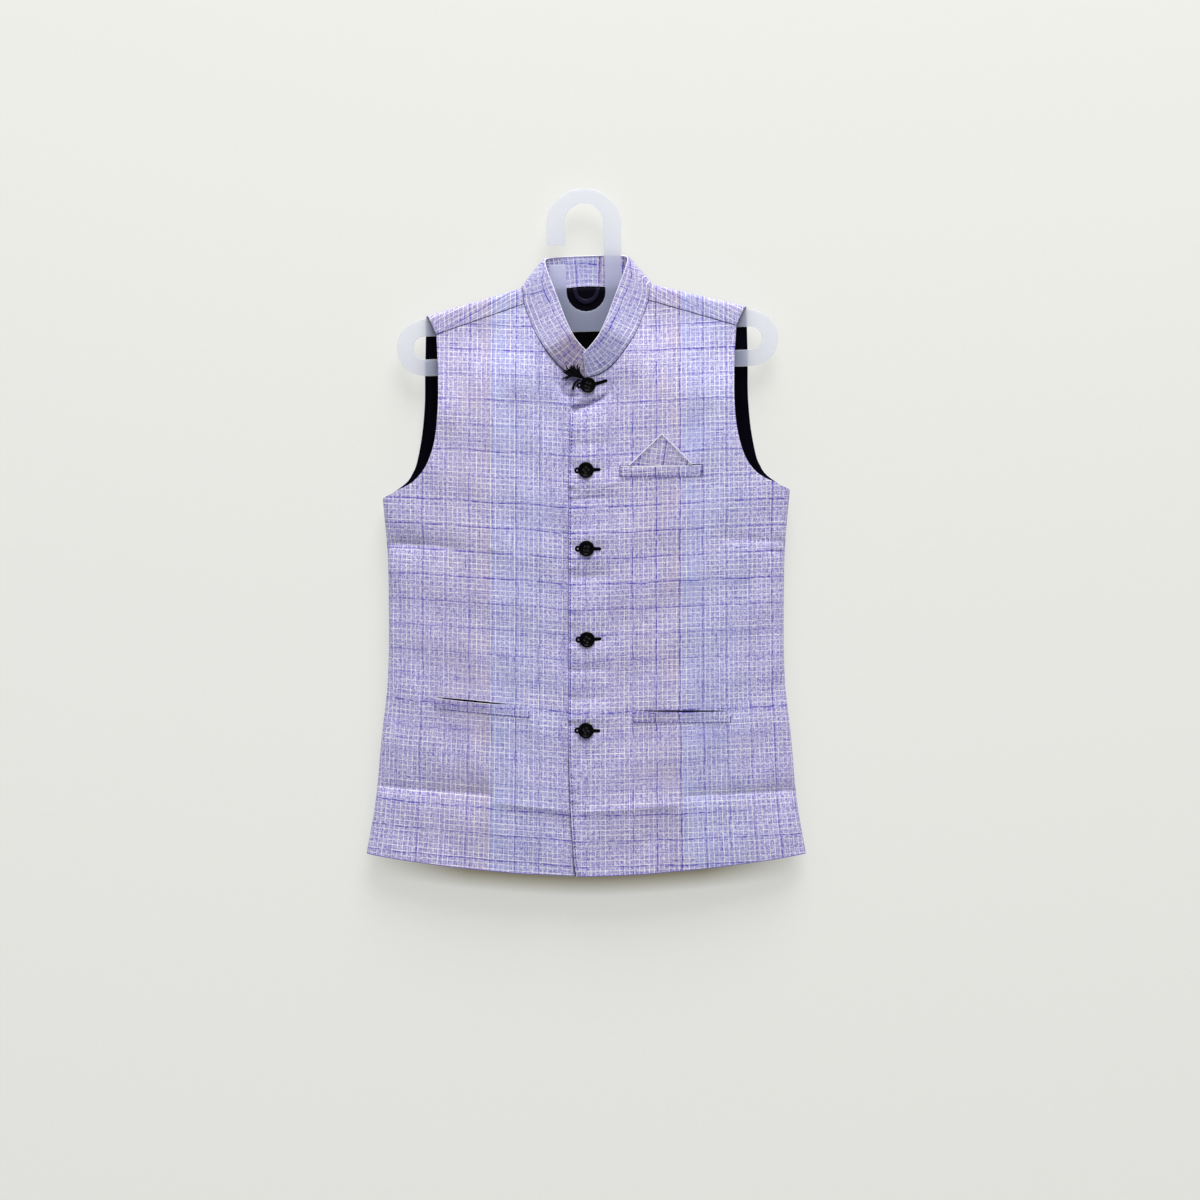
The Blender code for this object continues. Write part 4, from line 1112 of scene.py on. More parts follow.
@dataclass
class Front:
    """One front of the jacket, with its edge stitching.

    Attributes:
        form: The jacket's form.
        side: 1 for the wearer's left front, which laps over, or -1.
        node: Its CAD node.
        edge: Its front edge, (x, z) from the hem up.
        dip: Slope of the weft towards the centre front.
        cell: Width and height of a cell of its grid.
        breast: Height of its front edge level with the armhole's base.
        thickness: How thick the cloth is.
        stitch_in: How far inside the edge the stitching runs.
        pucker_depth: How far the stitching ripples the cloth, and how far it draws it in.
        fan: How far the warp follows the flare of the skirt, as a share.
        fan_from: Height from which the skirt flares.
        pale_edge_from: Height from which the edge's fold catches the light.
    """

    form: JacketForm
    side: int
    node: str
    edge: tuple[tuple[float, float], ...]
    dip: float
    cell: tuple[float, float] = (0.0032, 0.0016)
    breast: float = -0.3150
    thickness: float = 0.0016
    stitch_in: float = 0.0026
    pucker_depth: tuple[float, float] = (0.00055, 0.00030)
    fan: float = 0.55
    fan_from: float = -0.60
    pale_edge_from: float = -0.6900

    def _edge_at(self, z: Sequence[float]) -> np.ndarray:
        """Places on the front edge at these heights."""
        known = np.array(self.edge)
        return pairs(np.interp(z, known[:, 1], known[:, 0]), np.array(z))

    def _edge_flat(self, low: float, high: float, count: int, aside: float = 0.0) -> np.ndarray:
        """Pattern places along the front edge between two heights, or beside it."""
        return self.form.front_flat(self._edge_at(np.linspace(low, high, count)) + np.array([aside, 0.0]))

    def grids(self) -> list[np.ndarray]:
        """The three grids: below the armhole, beside it, and up to the shoulder seam."""
        f, (cell, rise) = self.form, self.cell
        under, wide, neck_cells, gap = (int(length / cell) for length in (0.075, 0.150, 0.060, 0.020))
        tall, crown, rows = (int(length / rise) for length in (0.105, 0.070, 0.500))
        side_x = float(f.half_width(f.underarm))
        base = f.front_flat(through([(side_x, f.underarm), *ARMHOLE_FRONT], under, 0, ARMHOLE_BASE + 1))
        armhole = f.front_flat(through(ARMHOLE_FRONT, tall, ARMHOLE_BASE, ARMHOLE_MID))
        tip = f.front_flat(through(ARMHOLE_FRONT, crown, ARMHOLE_MID))
        low = f.front_flat(through(NECKLINE, neck_cells, 0, NECK_TURN))
        high = f.front_flat(through(NECKLINE, crown, NECK_TURN))
        columns = gap + neck_cells + wide + under
        left = resampled(self._edge_flat(self.edge[0][1], self.breast, 200), rows)
        side_z = np.linspace(f.back_hem, f.underarm, rows + 1)
        right = pairs(f.furthest(side_z, f.front_fullness), side_z)
        x = np.linspace(self.edge[0][0], float(f.half_width(f.back_hem)), 400)
        bottom = f.front_flat(pairs(x, f.hem(x)))
        bottom[0] = left[0]
        bottom[-1] = right[0]
        bottom = resampled(bottom, columns)
        across = resampled(np.array([left[-1], base[-1]]), gap + neck_cells + wide)
        base[0] = right[-1]
        lower = filled(bottom, np.concatenate([across, base[::-1][1:]]), left, right)
        upper_left = resampled(self._edge_flat(self.breast, self.edge[-1][1], 60), tall)
        opening = resampled(np.array([upper_left[-1], low[0]]), gap)
        bridge = resampled(np.array([low[-1], armhole[-1]]), wide)
        upper = filled(across, np.concatenate([opening, low[1:], bridge[1:]]), upper_left, armhole)
        seam = resampled(f.front_flat([f.seam_neck, f.seam_tip]), wide)
        return [lower, upper, filled(bridge, seam, high, tip)]

    def cut(self, flat: np.ndarray) -> np.ndarray:
        """The check's coordinates on the front."""
        u, z = flat[:, 0], flat[:, 1]
        waist, width = float(self.form.half_width(self.fan_from)), self.form.half_width(z)
        flare = np.where(z < self.fan_from, width / waist - 1, 0.0) * self.fan * u / width
        return pairs(u * (1 - flare) * self.side, z - self.dip * np.abs(u))

    def pucker(self, flat: np.ndarray) -> np.ndarray:
        """How far the edge stitching draws the cloth in and out."""
        z = flat[:, 1]
        edge = self._edge_flat(self.edge[0][1], self.edge[-1][1], 60)
        inside = flat[:, 0] - np.interp(z, edge[:, 1], edge[:, 0])
        ripple = np.sin(math.tau * z / 0.0170) + 0.7 * np.sin(math.tau * z / 0.0111 + 1.3)
        ripple = ripple * (0.6 + 0.4 * np.sin(math.tau * z / 0.095))
        near = ripple * bell((inside - self.stitch_in * 0.6) / 0.0065)
        at_row = bell((inside - self.stitch_in) / 0.0016)
        return self.pucker_depth[0] * near - self.pucker_depth[1] * at_row

    def place(self, flat: np.ndarray, lift: float | np.ndarray = 0.0) -> np.ndarray:
        """Points on the front's face."""
        return self.form.front(self.side, flat, lift + self.pucker(flat))

    def build(self) -> None:
        """Makes the front."""
        sheet = Sheet(self.node + "_cloth", self.thickness)
        for flat in self.grids():
            sheet.grid(flat, self.place, self.cut, turned=self.side < 0)
        cloth = sheet.finish((Finish.CHECK, Finish.LINING), self.node, "lavender_check")

    def edge_path(self) -> np.ndarray:
        """Where a dark tube paints the shade along the pressed fold down the front edge."""
        flat = self._edge_flat(self.pale_edge_from, self.edge[-1][1] - 1 * MM, 400, 0.3 * MM)
        return self.place(flat, -0.25 * MM)

    def shaded_edge_path(self) -> np.ndarray:
        """Where a dark tube paints the shade in the gap under the front edge, from the hem up."""
        flat = self._edge_flat(self.edge[0][1] + 1 * MM, self.pale_edge_from, 200, -0.4 * MM)
        return self.place(flat, -0.8 * MM)

    def hem_shade_path(self) -> np.ndarray:
        """Where a dark tube paints the shade in the turn of the hem."""
        f = self.form
        x = np.linspace(self.edge[0][0] + 1 * MM, float(f.half_width(f.back_hem)) - 1 * MM, 300)
        return self.place(f.front_flat(pairs(x, f.hem(x) + 0.4 * MM)), -0.4 * MM)

    def stitching(self) -> list[np.ndarray]:
        """The row of stitches down the front edge."""
        row = self._edge_flat(self.edge[0][1] + 8 * MM, self.edge[-1][1] - 4 * MM, 160, self.stitch_in)
        return stitches(row, lambda flat, lift: self.place(flat, lift + 0.4 * MM))


@dataclass
class Back:
    """The back, which folds over the hanger's arms to the shoulder seams, and its lining.

    Attributes:
        form: The jacket's form.
        cell: Size of a cell of its grid; the lining's are larger.
        thickness: How thick the cloth is, and the lining.
        tip_x: Half width at the outer ends of the shoulder fold.
        lining_depth: How far inside the back's face the lining's lies.
    """

    form: JacketForm
    cell: float = 0.0045
    thickness: tuple[float, float] = (0.0013, 0.0006)
    tip_x: float = 0.2000
    lining_depth: float = 0.0026

    def neckline(self, count: int) -> np.ndarray:
        """The back neckline, left to right."""
        f = self.form
        corner = (f.back_neck_x, float(f.fold(f.back_neck_x)))
        half = [corner, (0.0550, -0.1062), (0.0300, -0.1030), (0.0, f.back_neck_z)]
        return through([(-x, z) for x, z in half] + half[-2::-1], count)

    def neck_side(self, count: int) -> np.ndarray:
        """The neckline over the shoulder fold, from the back to the shoulder seam."""
        f, half_turn = self.form, math.pi * self.form.fold_radius
        ridge, x = 0.0795, f.seam_neck[0]
        start = (f.back_neck_x, float(f.fold(f.back_neck_x)))
        top = (ridge, float(f.fold(ridge)) + half_turn / 2)
        down = (x + 0.8 * MM, float(f.fold(x)) + half_turn)
        return through([start, top, down, (x, float(f.seam_q(x)))], count)

    def grids(self, cell: float) -> tuple[np.ndarray, np.ndarray, np.ndarray]:
        """The grids below the armholes, between them, and over the wearer's left shoulder.

        Args:
            cell: Size of a cell.

        Returns:
            The three grids of pattern places.
        """
        f = self.form
        under, wide, neck = max(4, int(0.060 / cell)), int(0.125 / cell), 2 * max(4, int(0.075 / cell))
        tall, over_fold, rows = int(0.190 / cell), max(14, int(0.060 / cell)), int(0.45 / cell)
        side_x = float(f.half_width(f.underarm))
        top_point = (self.tip_x + 0.8 * MM, float(f.fold(self.tip_x)))
        base = f.back_flat(through([(side_x, f.underarm), *ARMHOLE_BACK], under, 0, ARMHOLE_BASE + 1))
        blade_x = through([*ARMHOLE_BACK, top_point], tall, ARMHOLE_BASE)
        turn = float(f.fold(self.tip_x)) + math.pi / 2 * f.fold_radius
        end = (f.seam_tip[0], float(f.seam_q(f.seam_tip[0])))
        tip = through([tuple(blade_x[-1]), (self.tip_x, turn), (0.1945, turn + 0.014), end], over_fold)
        blade = f.back_flat(blade_x)
        side_z = np.linspace(f.back_hem, f.underarm, rows + 1)
        side = pairs(f.furthest(side_z, f.back_fullness), side_z)
        base[0] = side[-1]
        columns = 2 * (under + wide) + neck
        bottom = resampled(np.array([side[0] * MIRROR, side[0]]), columns)
        middle = resampled(np.array([base[-1] * MIRROR, base[-1]]), 2 * wide + neck)
        chest = np.concatenate([base * MIRROR, middle[1:], base[::-1][1:]])
        lower = filled(bottom, chest, side * MIRROR, side)
        x = np.linspace(f.back_neck_x, blade_x[-1][0], wide + 1)
        fold_x = pairs(x, f.fold(x))
        fold_x[-1] = blade_x[-1]
        fold = f.back_flat(fold_x)
        neckline = f.back_flat(self.neckline(neck))
        top = np.concatenate([fold[::-1] * MIRROR, neckline[1:-1], fold])
        upper = filled(middle, top, blade * MIRROR, blade)
        x = np.linspace(f.seam_neck[0], f.seam_tip[0], wide + 1)
        seam = f.back_flat(pairs(x, f.seam_q(x)))
        strap = filled(fold, seam, f.back_flat(self.neck_side(over_fold)), f.back_flat(tip))
        return lower, upper, strap

    def build(self) -> None:
        """Makes the back."""
        sheet = Sheet("back_cloth", self.thickness[0])
        lower, upper, strap = self.grids(self.cell)
        for flat in (lower, upper, strap):
            sheet.grid(flat, self.form.back, turned=True)
        sheet.grid(strap * MIRROR, self.form.back)
        cloth = sheet.finish((Finish.CHECK, Finish.LINING), "back", "lavender_check")

    def build_lining(self) -> None:
        """Makes the black lining just inside the back, a little smaller at each of its edges."""
        sheet = Sheet("back_lining_cloth", self.thickness[1])
        lower, upper, _ = self.grids(self.cell * 1.3)
        for grid in (lower, upper):
            grid[:, :, 0] *= 0.988
        lower[0, :, 1] += 12 * MM
        upper[-1, :, 1] -= 1.2 * MM
        for flat in (lower, upper):
            sheet.grid(flat, lambda spots: self.form.back(spots, -self.lining_depth), turned=True)
        cloth = sheet.finish((Finish.LINING,), "back_lining", "black_lining", rim=0.0)

    def seam_paths(self) -> list[np.ndarray]:
        """The thread that shows in the two shoulder seams."""
        f = self.form
        x = np.linspace(f.seam_neck[0] + 1 * MM, f.seam_tip[0] - 1 * MM, 160)
        return [f.on_front(side, pairs(x, f.seam(x)), 0.05 * MM) for side in (-1, 1)]

    def inside(self, spots: np.ndarray, depth: float) -> np.ndarray:
        """Points inside the back, at a depth below its outer face."""
        return self.form.back(self.form.back_flat(spots), -depth)


@dataclass(frozen=True)
class CollarTop:
    """One place of the collar's top edge.

    Attributes:
        share: Share of the half seam, from the centre back.
        x: Half width there.
        y: How far back it lies.
        z: Height.
    """

    share: float
    x: float
    y: float
    z: float


@dataclass
class Collar:
    """The stand collar, one band from the under end round the neck to the over end.

    Attributes:
        form: The jacket's form.
        back: The back, whose neckline it laps over.
        tops: Its top edge, from the centre back to either end.
        gap: How far above the fronts' necklines it begins.
        lap: How far it laps over the back's neckline.
        thickness: How thick it is.
        rows: Cells from its lower edge to its upper one.
        cut_from: Where the check's warp is counted from.
        weft_from: The same for its weft.
    """

    form: JacketForm
    back: Back
    tops: tuple[CollarTop, ...] = (
        CollarTop(0.00, 0.0000, 0.0155, -0.0630),
        CollarTop(0.13, 0.0240, 0.0148, -0.0632),
        CollarTop(0.25, 0.0405, 0.0122, -0.0645),
        CollarTop(0.33, 0.0490, 0.0072, -0.0662),
        CollarTop(0.39, 0.0520, 0.0005, -0.0700),
        CollarTop(0.46, 0.0488, -0.0070, -0.0840),
        CollarTop(0.55, 0.0410, -0.0112, -0.1055),
        CollarTop(0.65, 0.0330, -0.0148, -0.1270),
        CollarTop(0.75, 0.0250, -0.0205, -0.1485),
        CollarTop(0.85, 0.0150, -0.0245, -0.1690),
        CollarTop(0.93, 0.0050, -0.0266, -0.1820),
        CollarTop(1.00, -0.0030, -0.0276, -0.1905),
    )
    gap: float = 0.0007
    lap: float = 0.0012
    thickness: float = 0.0018
    rows: int = 18
    cut_from: float = 0.3484
    weft_from: float = 0.0022

    def seam(self) -> np.ndarray:
        """Points of the panels' necklines, from the under end to the over end."""
        f = self.form
        front = f.front_flat(through(NECKLINE, 60))
        side = f.back_flat(self.back.neck_side(20))[::-1]
        neck = f.back_flat(self.back.neckline(70))
        parts = [
            f.front(-1, front, relief=False),
            f.back(side * MIRROR, relief=False),
            f.back(neck, relief=False),
            f.back(side[::-1], relief=False),
            f.front(1, front[::-1], relief=False),
        ]
        line = np.concatenate([p if k == 0 else p[1:] for k, p in enumerate(parts)])
        return resampled(line, 230)

    def edges(self) -> tuple[np.ndarray, np.ndarray, np.ndarray]:
        """The band's lower and upper edge and how far round it each place lies."""
        low = self.seam()
        share = 2 * walked_share(low) - 1
        knots = [t.share for t in self.tops]
        curves = {key: smooth_table(knots, [getattr(t, key) for t in self.tops]) for key in "xyz"}
        x, y, z = (np.interp(np.abs(share), *curves[key]) for key in "xyz")
        f = self.form
        lap = f.lap_depth * ease((f.lap_from - x) / f.lap_over) * ease((np.abs(share) - 0.5) / 0.3)
        y = y + np.where(share < 0, lap, 0.0)
        high = f.hung(np.stack([np.sign(share) * x, y, z], axis=1))
        length, up = distances(low)[-1], unit(high - low)
        behind = ease((0.44 - np.abs(share)) / 0.12)[:, None]
        low = low + up * (self.gap - (self.gap + self.lap) * behind)
        low = low + self._out(low, high) * 0.4 * MM * behind
        return low, high, share * length / 2

    def build(self) -> None:
        """Makes the collar."""
        low, high, around = self.edges()
        out = self._out(low, high)
        middle = (low + high) / 2
        way = distances(middle)
        slant = np.sum((high - low) * unit(np.gradient(middle, axis=0)), axis=1)
        tall = np.sqrt(np.sum((high - low) ** 2, axis=1) - slant**2)

        def column(spots: np.ndarray) -> np.ndarray:
            """Which place round the band each spot lies at."""
            return np.round(np.interp(spots[:, 0], around, np.arange(len(low)))).astype(int)

        def place(spots: np.ndarray) -> np.ndarray:
            """Points on the band, a little full between its edges."""
            k, rise = column(spots), spots[:, 1:2]
            belly = 0.6 * MM * np.sin(math.pi * rise) + 0.3 * MM * np.sin(spots[:, :1] * 61) * rise
            return low[k] * (1 - rise) + high[k] * rise + out[k] * belly

        def cut(spots: np.ndarray) -> np.ndarray:
            """The check runs square to the band's edges."""
            k, rise = column(spots), spots[:, 1]
            along = way[k] + (rise - 0.5) * slant[k]
            return pairs(self.cut_from - along, rise * tall[k] + self.weft_from)

        sheet = Sheet("collar_cloth", self.thickness)
        sheet.grid(lattice(around, np.linspace(0, 1, self.rows + 1)), place, cut)
        cloth = sheet.finish((Finish.COLLAR_CHECK,), "collar", "lavender_check")

    @staticmethod
    def _out(low: np.ndarray, high: np.ndarray) -> np.ndarray:
        """The band's outward direction at each place round it."""
        return unit(np.cross(high - low, np.gradient(low + high, axis=0)))

    def edge_paths(self) -> list[np.ndarray]:
        """Paths for painted highlights on the pressed folds: the band's top, its over end and its foot."""
        low, high, _ = self.edges()
        out = self._out(low, high)
        top = resampled(high - out * 0.2 * MM, 700)
        end = resampled(np.array([low[-1], high[-1]]) - out[-1] * 0.4 * MM, 30)
        foot = resampled(low + unit(high - low) * 1 * MM + out * 0.1 * MM, 700)
        return [top, end, foot]

    def seam_paths(self) -> list[np.ndarray]:
        """The thread that shows in the collar seam."""
        low, high, _ = self.edges()
        return [resampled(low - self._out(low, high) * 1.2 * MM, 700)[40:-40]]


@dataclass(frozen=True)
class WeltSize:
    """One pocket welt, its top edge in (x, z) on its front.

    Attributes:
        node: Its CAD node.
        side: Which front it lies on.
        left: Its end nearer the centre front.
        right: Its other end.
        height: Its height.
        open_at: How far its top edge gapes.
        mouth: Where along it the gape begins and ends, as shares.
    """

    node: str
    side: int
    left: tuple[float, float]
    right: tuple[float, float]
    height: float
    open_at: float = 0.0
    mouth: tuple[float, float] = (0.0, 1.0)

    def gape(self, across: np.ndarray) -> np.ndarray:
        """How open the mouth is at shares across it, from 0 to 1."""
        start, end = self.mouth
        return np.sin(math.pi * np.clip((across - start) / (end - start), 0, 1)) ** 0.5

    @property
    def width(self) -> float:
        """Its width, measured level."""
        return abs(self.right[0] - self.left[0])


@dataclass
class Pockets:
    """The three welts and the folded square.

    Attributes:
        form: The jacket's form.
        fronts: The two fronts, by side.
        welts: The welts, of which the first is the chest's.
        lift: How far a welt's face stands off its front.
        facing: How far the pocket cloth runs down behind a welt.
        square_base: Where the square's two edges meet the chest welt's top.
        square_peak: Its peak.
        square_turn: How far the check lies turned on it.
        square_shift: Where the check's warp is counted from on it, which puts the reddish painted shade of
            the stripes on it.
        square_lean: How far its peak stands out from the front.
    """

    form: JacketForm
    fronts: dict[int, Front]
    welts: tuple[WeltSize, ...] = (
        WeltSize("chest_welt", 1, (0.0420, -0.3315), (0.1430, -0.3330), 0.0135, 0.0003),
        WeltSize("lower_welt_left", 1, (0.0575, -0.6330), (0.1800, -0.6340), 0.0150, 0.0012, (0.08, 0.95)),
        WeltSize("lower_welt_right", -1, (0.0700, -0.6270), (0.1885, -0.6150), 0.0150, 0.0013, (0.24, 0.97)),
    )
    lift: float = 0.0013
    facing: float = 0.0090
    square_base: tuple[float, float] = (0.0530, 0.1310)
    square_peak: tuple[float, float] = (0.0930, -0.2935)
    square_turn: float = math.radians(8)
    square_shift: float = -0.053
    square_lean: float = 0.0058

    def _strip(self, welt: WeltSize, across: np.ndarray, up: np.ndarray) -> np.ndarray:
        """Pattern places on a welt at shares across it and up it."""
        left, right = np.array(welt.left), np.array(welt.right)
        spots = left + (right - left) * across[:, None]
        spots[:, 1] -= welt.height * (1 - up)
        return self.form.front_flat(spots)

    def build_welt(self, welt: WeltSize) -> None:
        """Makes one welt, a little proud of its front and gaping at its mouth.

        Args:
            welt: Its sizes.
        """

        def place(spots: np.ndarray) -> np.ndarray:
            """Points on the welt's face."""
            across, up = spots[:, 0], spots[:, 1]
            mouth = welt.open_at * welt.gape(across)
            at = self._strip(welt, across, up)
            at[:, 1] -= up**3 * mouth * 1.2
            ends = np.minimum(across, 1 - across) * welt.width / (3 * MM)
            edge = np.maximum((1 - up) ** 1.5, 0.8 * np.exp(-(ends**2)))
            roll = 0.3 * MM * np.sin(math.pi * up) - 1.1 * MM * edge
            return self.form.front(welt.side, at, self.lift + roll + up**2 * mouth)

        def cut(spots: np.ndarray) -> np.ndarray:
            """The check's coordinates on the welt."""
            at = self._strip(welt, spots[:, 0], spots[:, 1])
            return self.fronts[welt.side].cut(at) + np.array([1.2, 1.9]) * MM

        sheet = Sheet(welt.node + "_cloth", 0.7 * MM)
        sheet.grid(lattice(np.linspace(0, 1, 65), np.linspace(0, 1, 11)), place, cut, turned=welt.side < 0)
        cloth = sheet.finish((Finish.CHECK,), welt.node, "lavender_check", rim=0.3 * MM)

    def build_mouth(self, welt: WeltSize) -> None:
        """Makes the dark pocket cloth that shows where a welt gapes.

        Args:
            welt: Its sizes.
        """

        def place(spots: np.ndarray) -> np.ndarray:
            """Points just above the front, from the welt's top edge down behind it."""
            across, up = spots[:, 0], spots[:, 1]
            at = self._strip(welt, across, np.ones(len(spots)))
            at[:, 1] += (0.2 + 0.6 * welt.gape(across)) * MM * up - self.facing * (1 - up)
            return self.form.front(welt.side, at, 0.35 * MM)

        sheet = Sheet(welt.node + "_mouth", 0.2 * MM)
        sheet.grid(lattice(np.linspace(0.02, 0.98, 61), np.linspace(0, 1, 4)), place, turned=welt.side < 0)
        cloth = sheet.finish((Finish.LINING,), None, "black_lining", rim=0.0)

    def build_square(self) -> None:
        """Makes the folded square behind the chest welt."""
        welt = self.welts[0]
        wide = self.square_base[1] - self.square_base[0]

        def spot(spots: np.ndarray) -> np.ndarray:
            """Places on the square, in (x, z)."""
            x = self.square_base[0] + wide * spots[:, 0]
            foot = np.interp(x, [welt.left[0], welt.right[0]], [welt.left[1], welt.right[1]]) + 0.4 * MM
            places = pairs(x, foot)
            return places + (np.array(self.square_peak) - places) * spots[:, 1:2]

        def place(spots: np.ndarray) -> np.ndarray:
            """Points on the square's face: its two folded edges stand a little higher."""
            across, up = spots[:, 0], spots[:, 1]
            roll = 1.1 * MM * bell(np.minimum(across, 1 - across) * (1 - up) * wide / (4.5 * MM))
            return self.form.on_front(1, spot(spots), self.lift + roll + self.square_lean * up)

        def cut(spots: np.ndarray) -> np.ndarray:
            """The check lies turned on the folded cloth."""
            at = spot(spots)
            cos, sin = math.cos(self.square_turn), math.sin(self.square_turn)
            across = at[:, 0] * cos - at[:, 1] * sin + self.square_shift
            return pairs(across, at[:, 0] * sin + at[:, 1] * cos)

        sheet = Sheet("pocket_square_cloth", 0.9 * MM)
        sheet.grid(lattice(np.linspace(0, 1, 49), np.linspace(0, 0.985, 25)), place, cut)
        cloth = sheet.finish((Finish.CHECK,), "pocket_square", "lavender_check", rim=0.3 * MM)

    def edge_paths(self) -> list[np.ndarray]:
        """Paths for painted highlights on the pressed folds of the chest welt's mouth and the square's
        slanting edges.
        """
        welt, across = self.welts[0], np.linspace(0.01, 0.99, 120)
        at = self._strip(welt, across, np.ones(len(across)))
        mouth = welt.open_at * welt.gape(across)
        at[:, 1] -= mouth * 1.2
        paths = [self.form.front(welt.side, at, self.lift + mouth - 0.3 * MM)]
        for x in self.square_base:
            line = resampled(np.array([[x, welt.left[1] + 1 * MM], self.square_peak]), 60)
            lift = self.lift + 0.9 * MM + self.square_lean * np.linspace(0, 1, len(line))
            paths.append(self.form.on_front(1, line, lift))
        return paths

    def mouth_ends(self) -> list[np.ndarray]:
        """Dark lines that paint the shade in the slits beside the folded square and at the chest welt's ends.
        """
        welt = self.welts[0]
        (x0, z0), (x1, z1), (near, far) = welt.left, welt.right, self.square_base
        left = [(x0 - 0.4 * MM, z0 - welt.height), (x0 - 0.4 * MM, z0 + 0.6 * MM), (near, z0 + 0.9 * MM)]
        right = [(far, z1 + 2.2 * MM), (x1 + 0.4 * MM, z1 + 1.6 * MM), (x1 + 0.6 * MM, z1 - welt.height)]
        return [self.form.on_front(1, resampled(np.array(line), 60), 0.4 * MM) for line in (left, right)]

    def stitching(self) -> list[np.ndarray]:
        """Rows of stitches down the ends of each welt and along its foot."""
        paths, inset = [], 1.2 * MM
        for welt in self.welts:
            a, b, low = inset / welt.width, 1 - inset / welt.width, inset / welt.height
            for corners in (((a, low), (b, low)), ((a, low), (a, 1.0)), ((b, low), (b, 1.0))):
                ends = np.array(corners)
                line = resampled(self._strip(welt, ends[:, 0], ends[:, 1]), 20)
                paths += stitches(line, lambda f, t: self.form.front(welt.side, f, self.lift + 0.4 * MM + t))
        return paths


@dataclass
class Closing:
    """The five buttons, their buttonholes and the thread tassel.

    Attributes:
        form: The jacket's form.
        turns: How far each button is turned, in degrees.
        radius: A button's radius.
        height: How thick it is.
        lift: How far off the cloth it sits, on its shank.
        profile: Half its outline, as shares of its radius and height.
        hole_radius: Radius of one of its four holes.
        hole_at: How far across and up from its middle each hole lies.
        tails: How far each buttonhole runs on past its button's middle, and rises.
        eye_at: How far before it the eye of the buttonhole lies.
        eye: Radius of the eye, and half the width of the slit beside it.
        whip: Half the length of the thread that is whipped over the buttonhole's edge.
        tassel_at: Where the tassel grows, in (x, z).
        strands: How many thread ends it has.
        loops: How many threads loop round its root.
    """

    form: JacketForm
    turns: tuple[float, ...] = (20.0, 48.0, 5.0, 33.0, 62.0)
    radius: float = 0.0098
    height: float = 0.0034
    lift: float = 0.0007
    profile: tuple[tuple[float, float], ...] = (
        (0.00, 0.00), (0.72, 0.00), (0.90, 0.14), (0.985, 0.36), (1.00, 0.58), (0.975, 0.80), (0.92, 0.94),
        (0.85, 1.00), (0.77, 0.96), (0.70, 0.78), (0.64, 0.64), (0.52, 0.58), (0.00, 0.56),
    )
    hole_radius: float = 0.0011
    hole_at: float = 0.0021
    tails: tuple[tuple[float, float], ...] = (
        (0.0225, 0.0052), (0.0165, 0.0004), (0.0165, -0.0006), (0.0160, 0.0008), (0.0160, -0.0005),
    )
    eye_at: float = 0.0106
    eye: tuple[float, float] = (0.0026, 0.0014)
    whip: float = 0.0010
    tassel_at: tuple[float, float] = (-0.0019, -0.2222)
    strands: int = 44
    loops: int = 7

    def _seat(self, k: int) -> Matrix:
        """A matrix that lays a flat thing, facing -Y, where one button sits on the left front."""
        x, z = BUTTONS[k]
        spots = [(x, z), (x, z), (x + 1 * MM, z)]
        points = self.form.on_front(1, spots, np.array([0.0, 1.0, 0.0]) * MM, relief=False)
        out = Vector(points[1] - points[0]).normalized()
        right = Vector(points[2] - points[0]).normalized()
        up = (-out).cross(right).normalized() * -1
        seat = Matrix((right, -out, up)).transposed().to_4x4()
        return Matrix.Translation(Vector(points[0]) + out * self.lift) @ seat

    def _on_button(self, k: int, spots: Iterable[Sequence[float]]) -> np.ndarray:
        """Points given on one button's own face, which is turned on its seat."""
        seat, turn = self._seat(k), Matrix.Rotation(math.radians(self.turns[k]), 4, "Y")
        return np.array([seat @ (turn @ Vector(spot)) for spot in spots])

    def build_button(self, k: int) -> None:
        """Makes a turned four-hole button.

        Args:
            k: Which one, from the top.
        """
        mesh = bmesh.new()
        ring = [mesh.verts.new((share * self.radius, -rise * self.height, 0)) for share, rise in self.profile]
        edges = [mesh.edges.new(pair) for pair in zip(ring, ring[1:])]
        bmesh.ops.spin(
            mesh, geom=ring + edges, cent=(0, 0, 0), axis=(0, 1, 0), angle=math.tau, steps=48, use_merge=True
        )
        bmesh.ops.remove_doubles(mesh, verts=mesh.verts, dist=0.001 * MM)
        bmesh.ops.recalc_face_normals(mesh, faces=mesh.faces)
        for face in mesh.faces:
            face.smooth = True
        bmesh.ops.transform(mesh, verts=mesh.verts, matrix=self._seat(k))
        button = object_of(mesh, f"button_{k + 1}_turned")
        button.data.materials.append(Finish.BUTTON.material())
        dressed(button, f"button_{k + 1}")

    def thread_paths(self) -> list[np.ndarray]:
        """Threads that cross between each button's four holes, three to a side."""
        paths, t = [], np.linspace(-1, 1, 7)
        rise = 0.56 * self.height + 0.7 * MM * (1 - t**4) - 0.3 * MM
        for k in range(len(BUTTONS)):
            for side in (-1, 1):
                for strand in (-1, 0, 1):
                    x = np.full(len(t), side * self.hole_at + strand * 0.35 * MM)
                    paths.append(self._on_button(k, np.stack([x, -rise, t * self.hole_at], axis=1)))
        return paths

    def hole_rings(self) -> None:
        """Makes the small raised rims round the buttons' holes, lighter grey to paint the glints there."""
        paths, ring = [], self.hole_radius * heading(np.linspace(0, math.tau, 13))
        depth = np.full(len(ring), -0.57 * self.height)
        for k in range(len(BUTTONS)):
            for x in (-self.hole_at, self.hole_at):
                for z in (-self.hole_at, self.hole_at):
                    spots = np.stack([ring[:, 0] + x, depth, ring[:, 1] + z], axis=1)
                    paths.append(self._on_button(k, spots))
        threads("button_hole_glint_rims", paths, 0.3 * MM, Finish.BUTTON_RIM, 4)

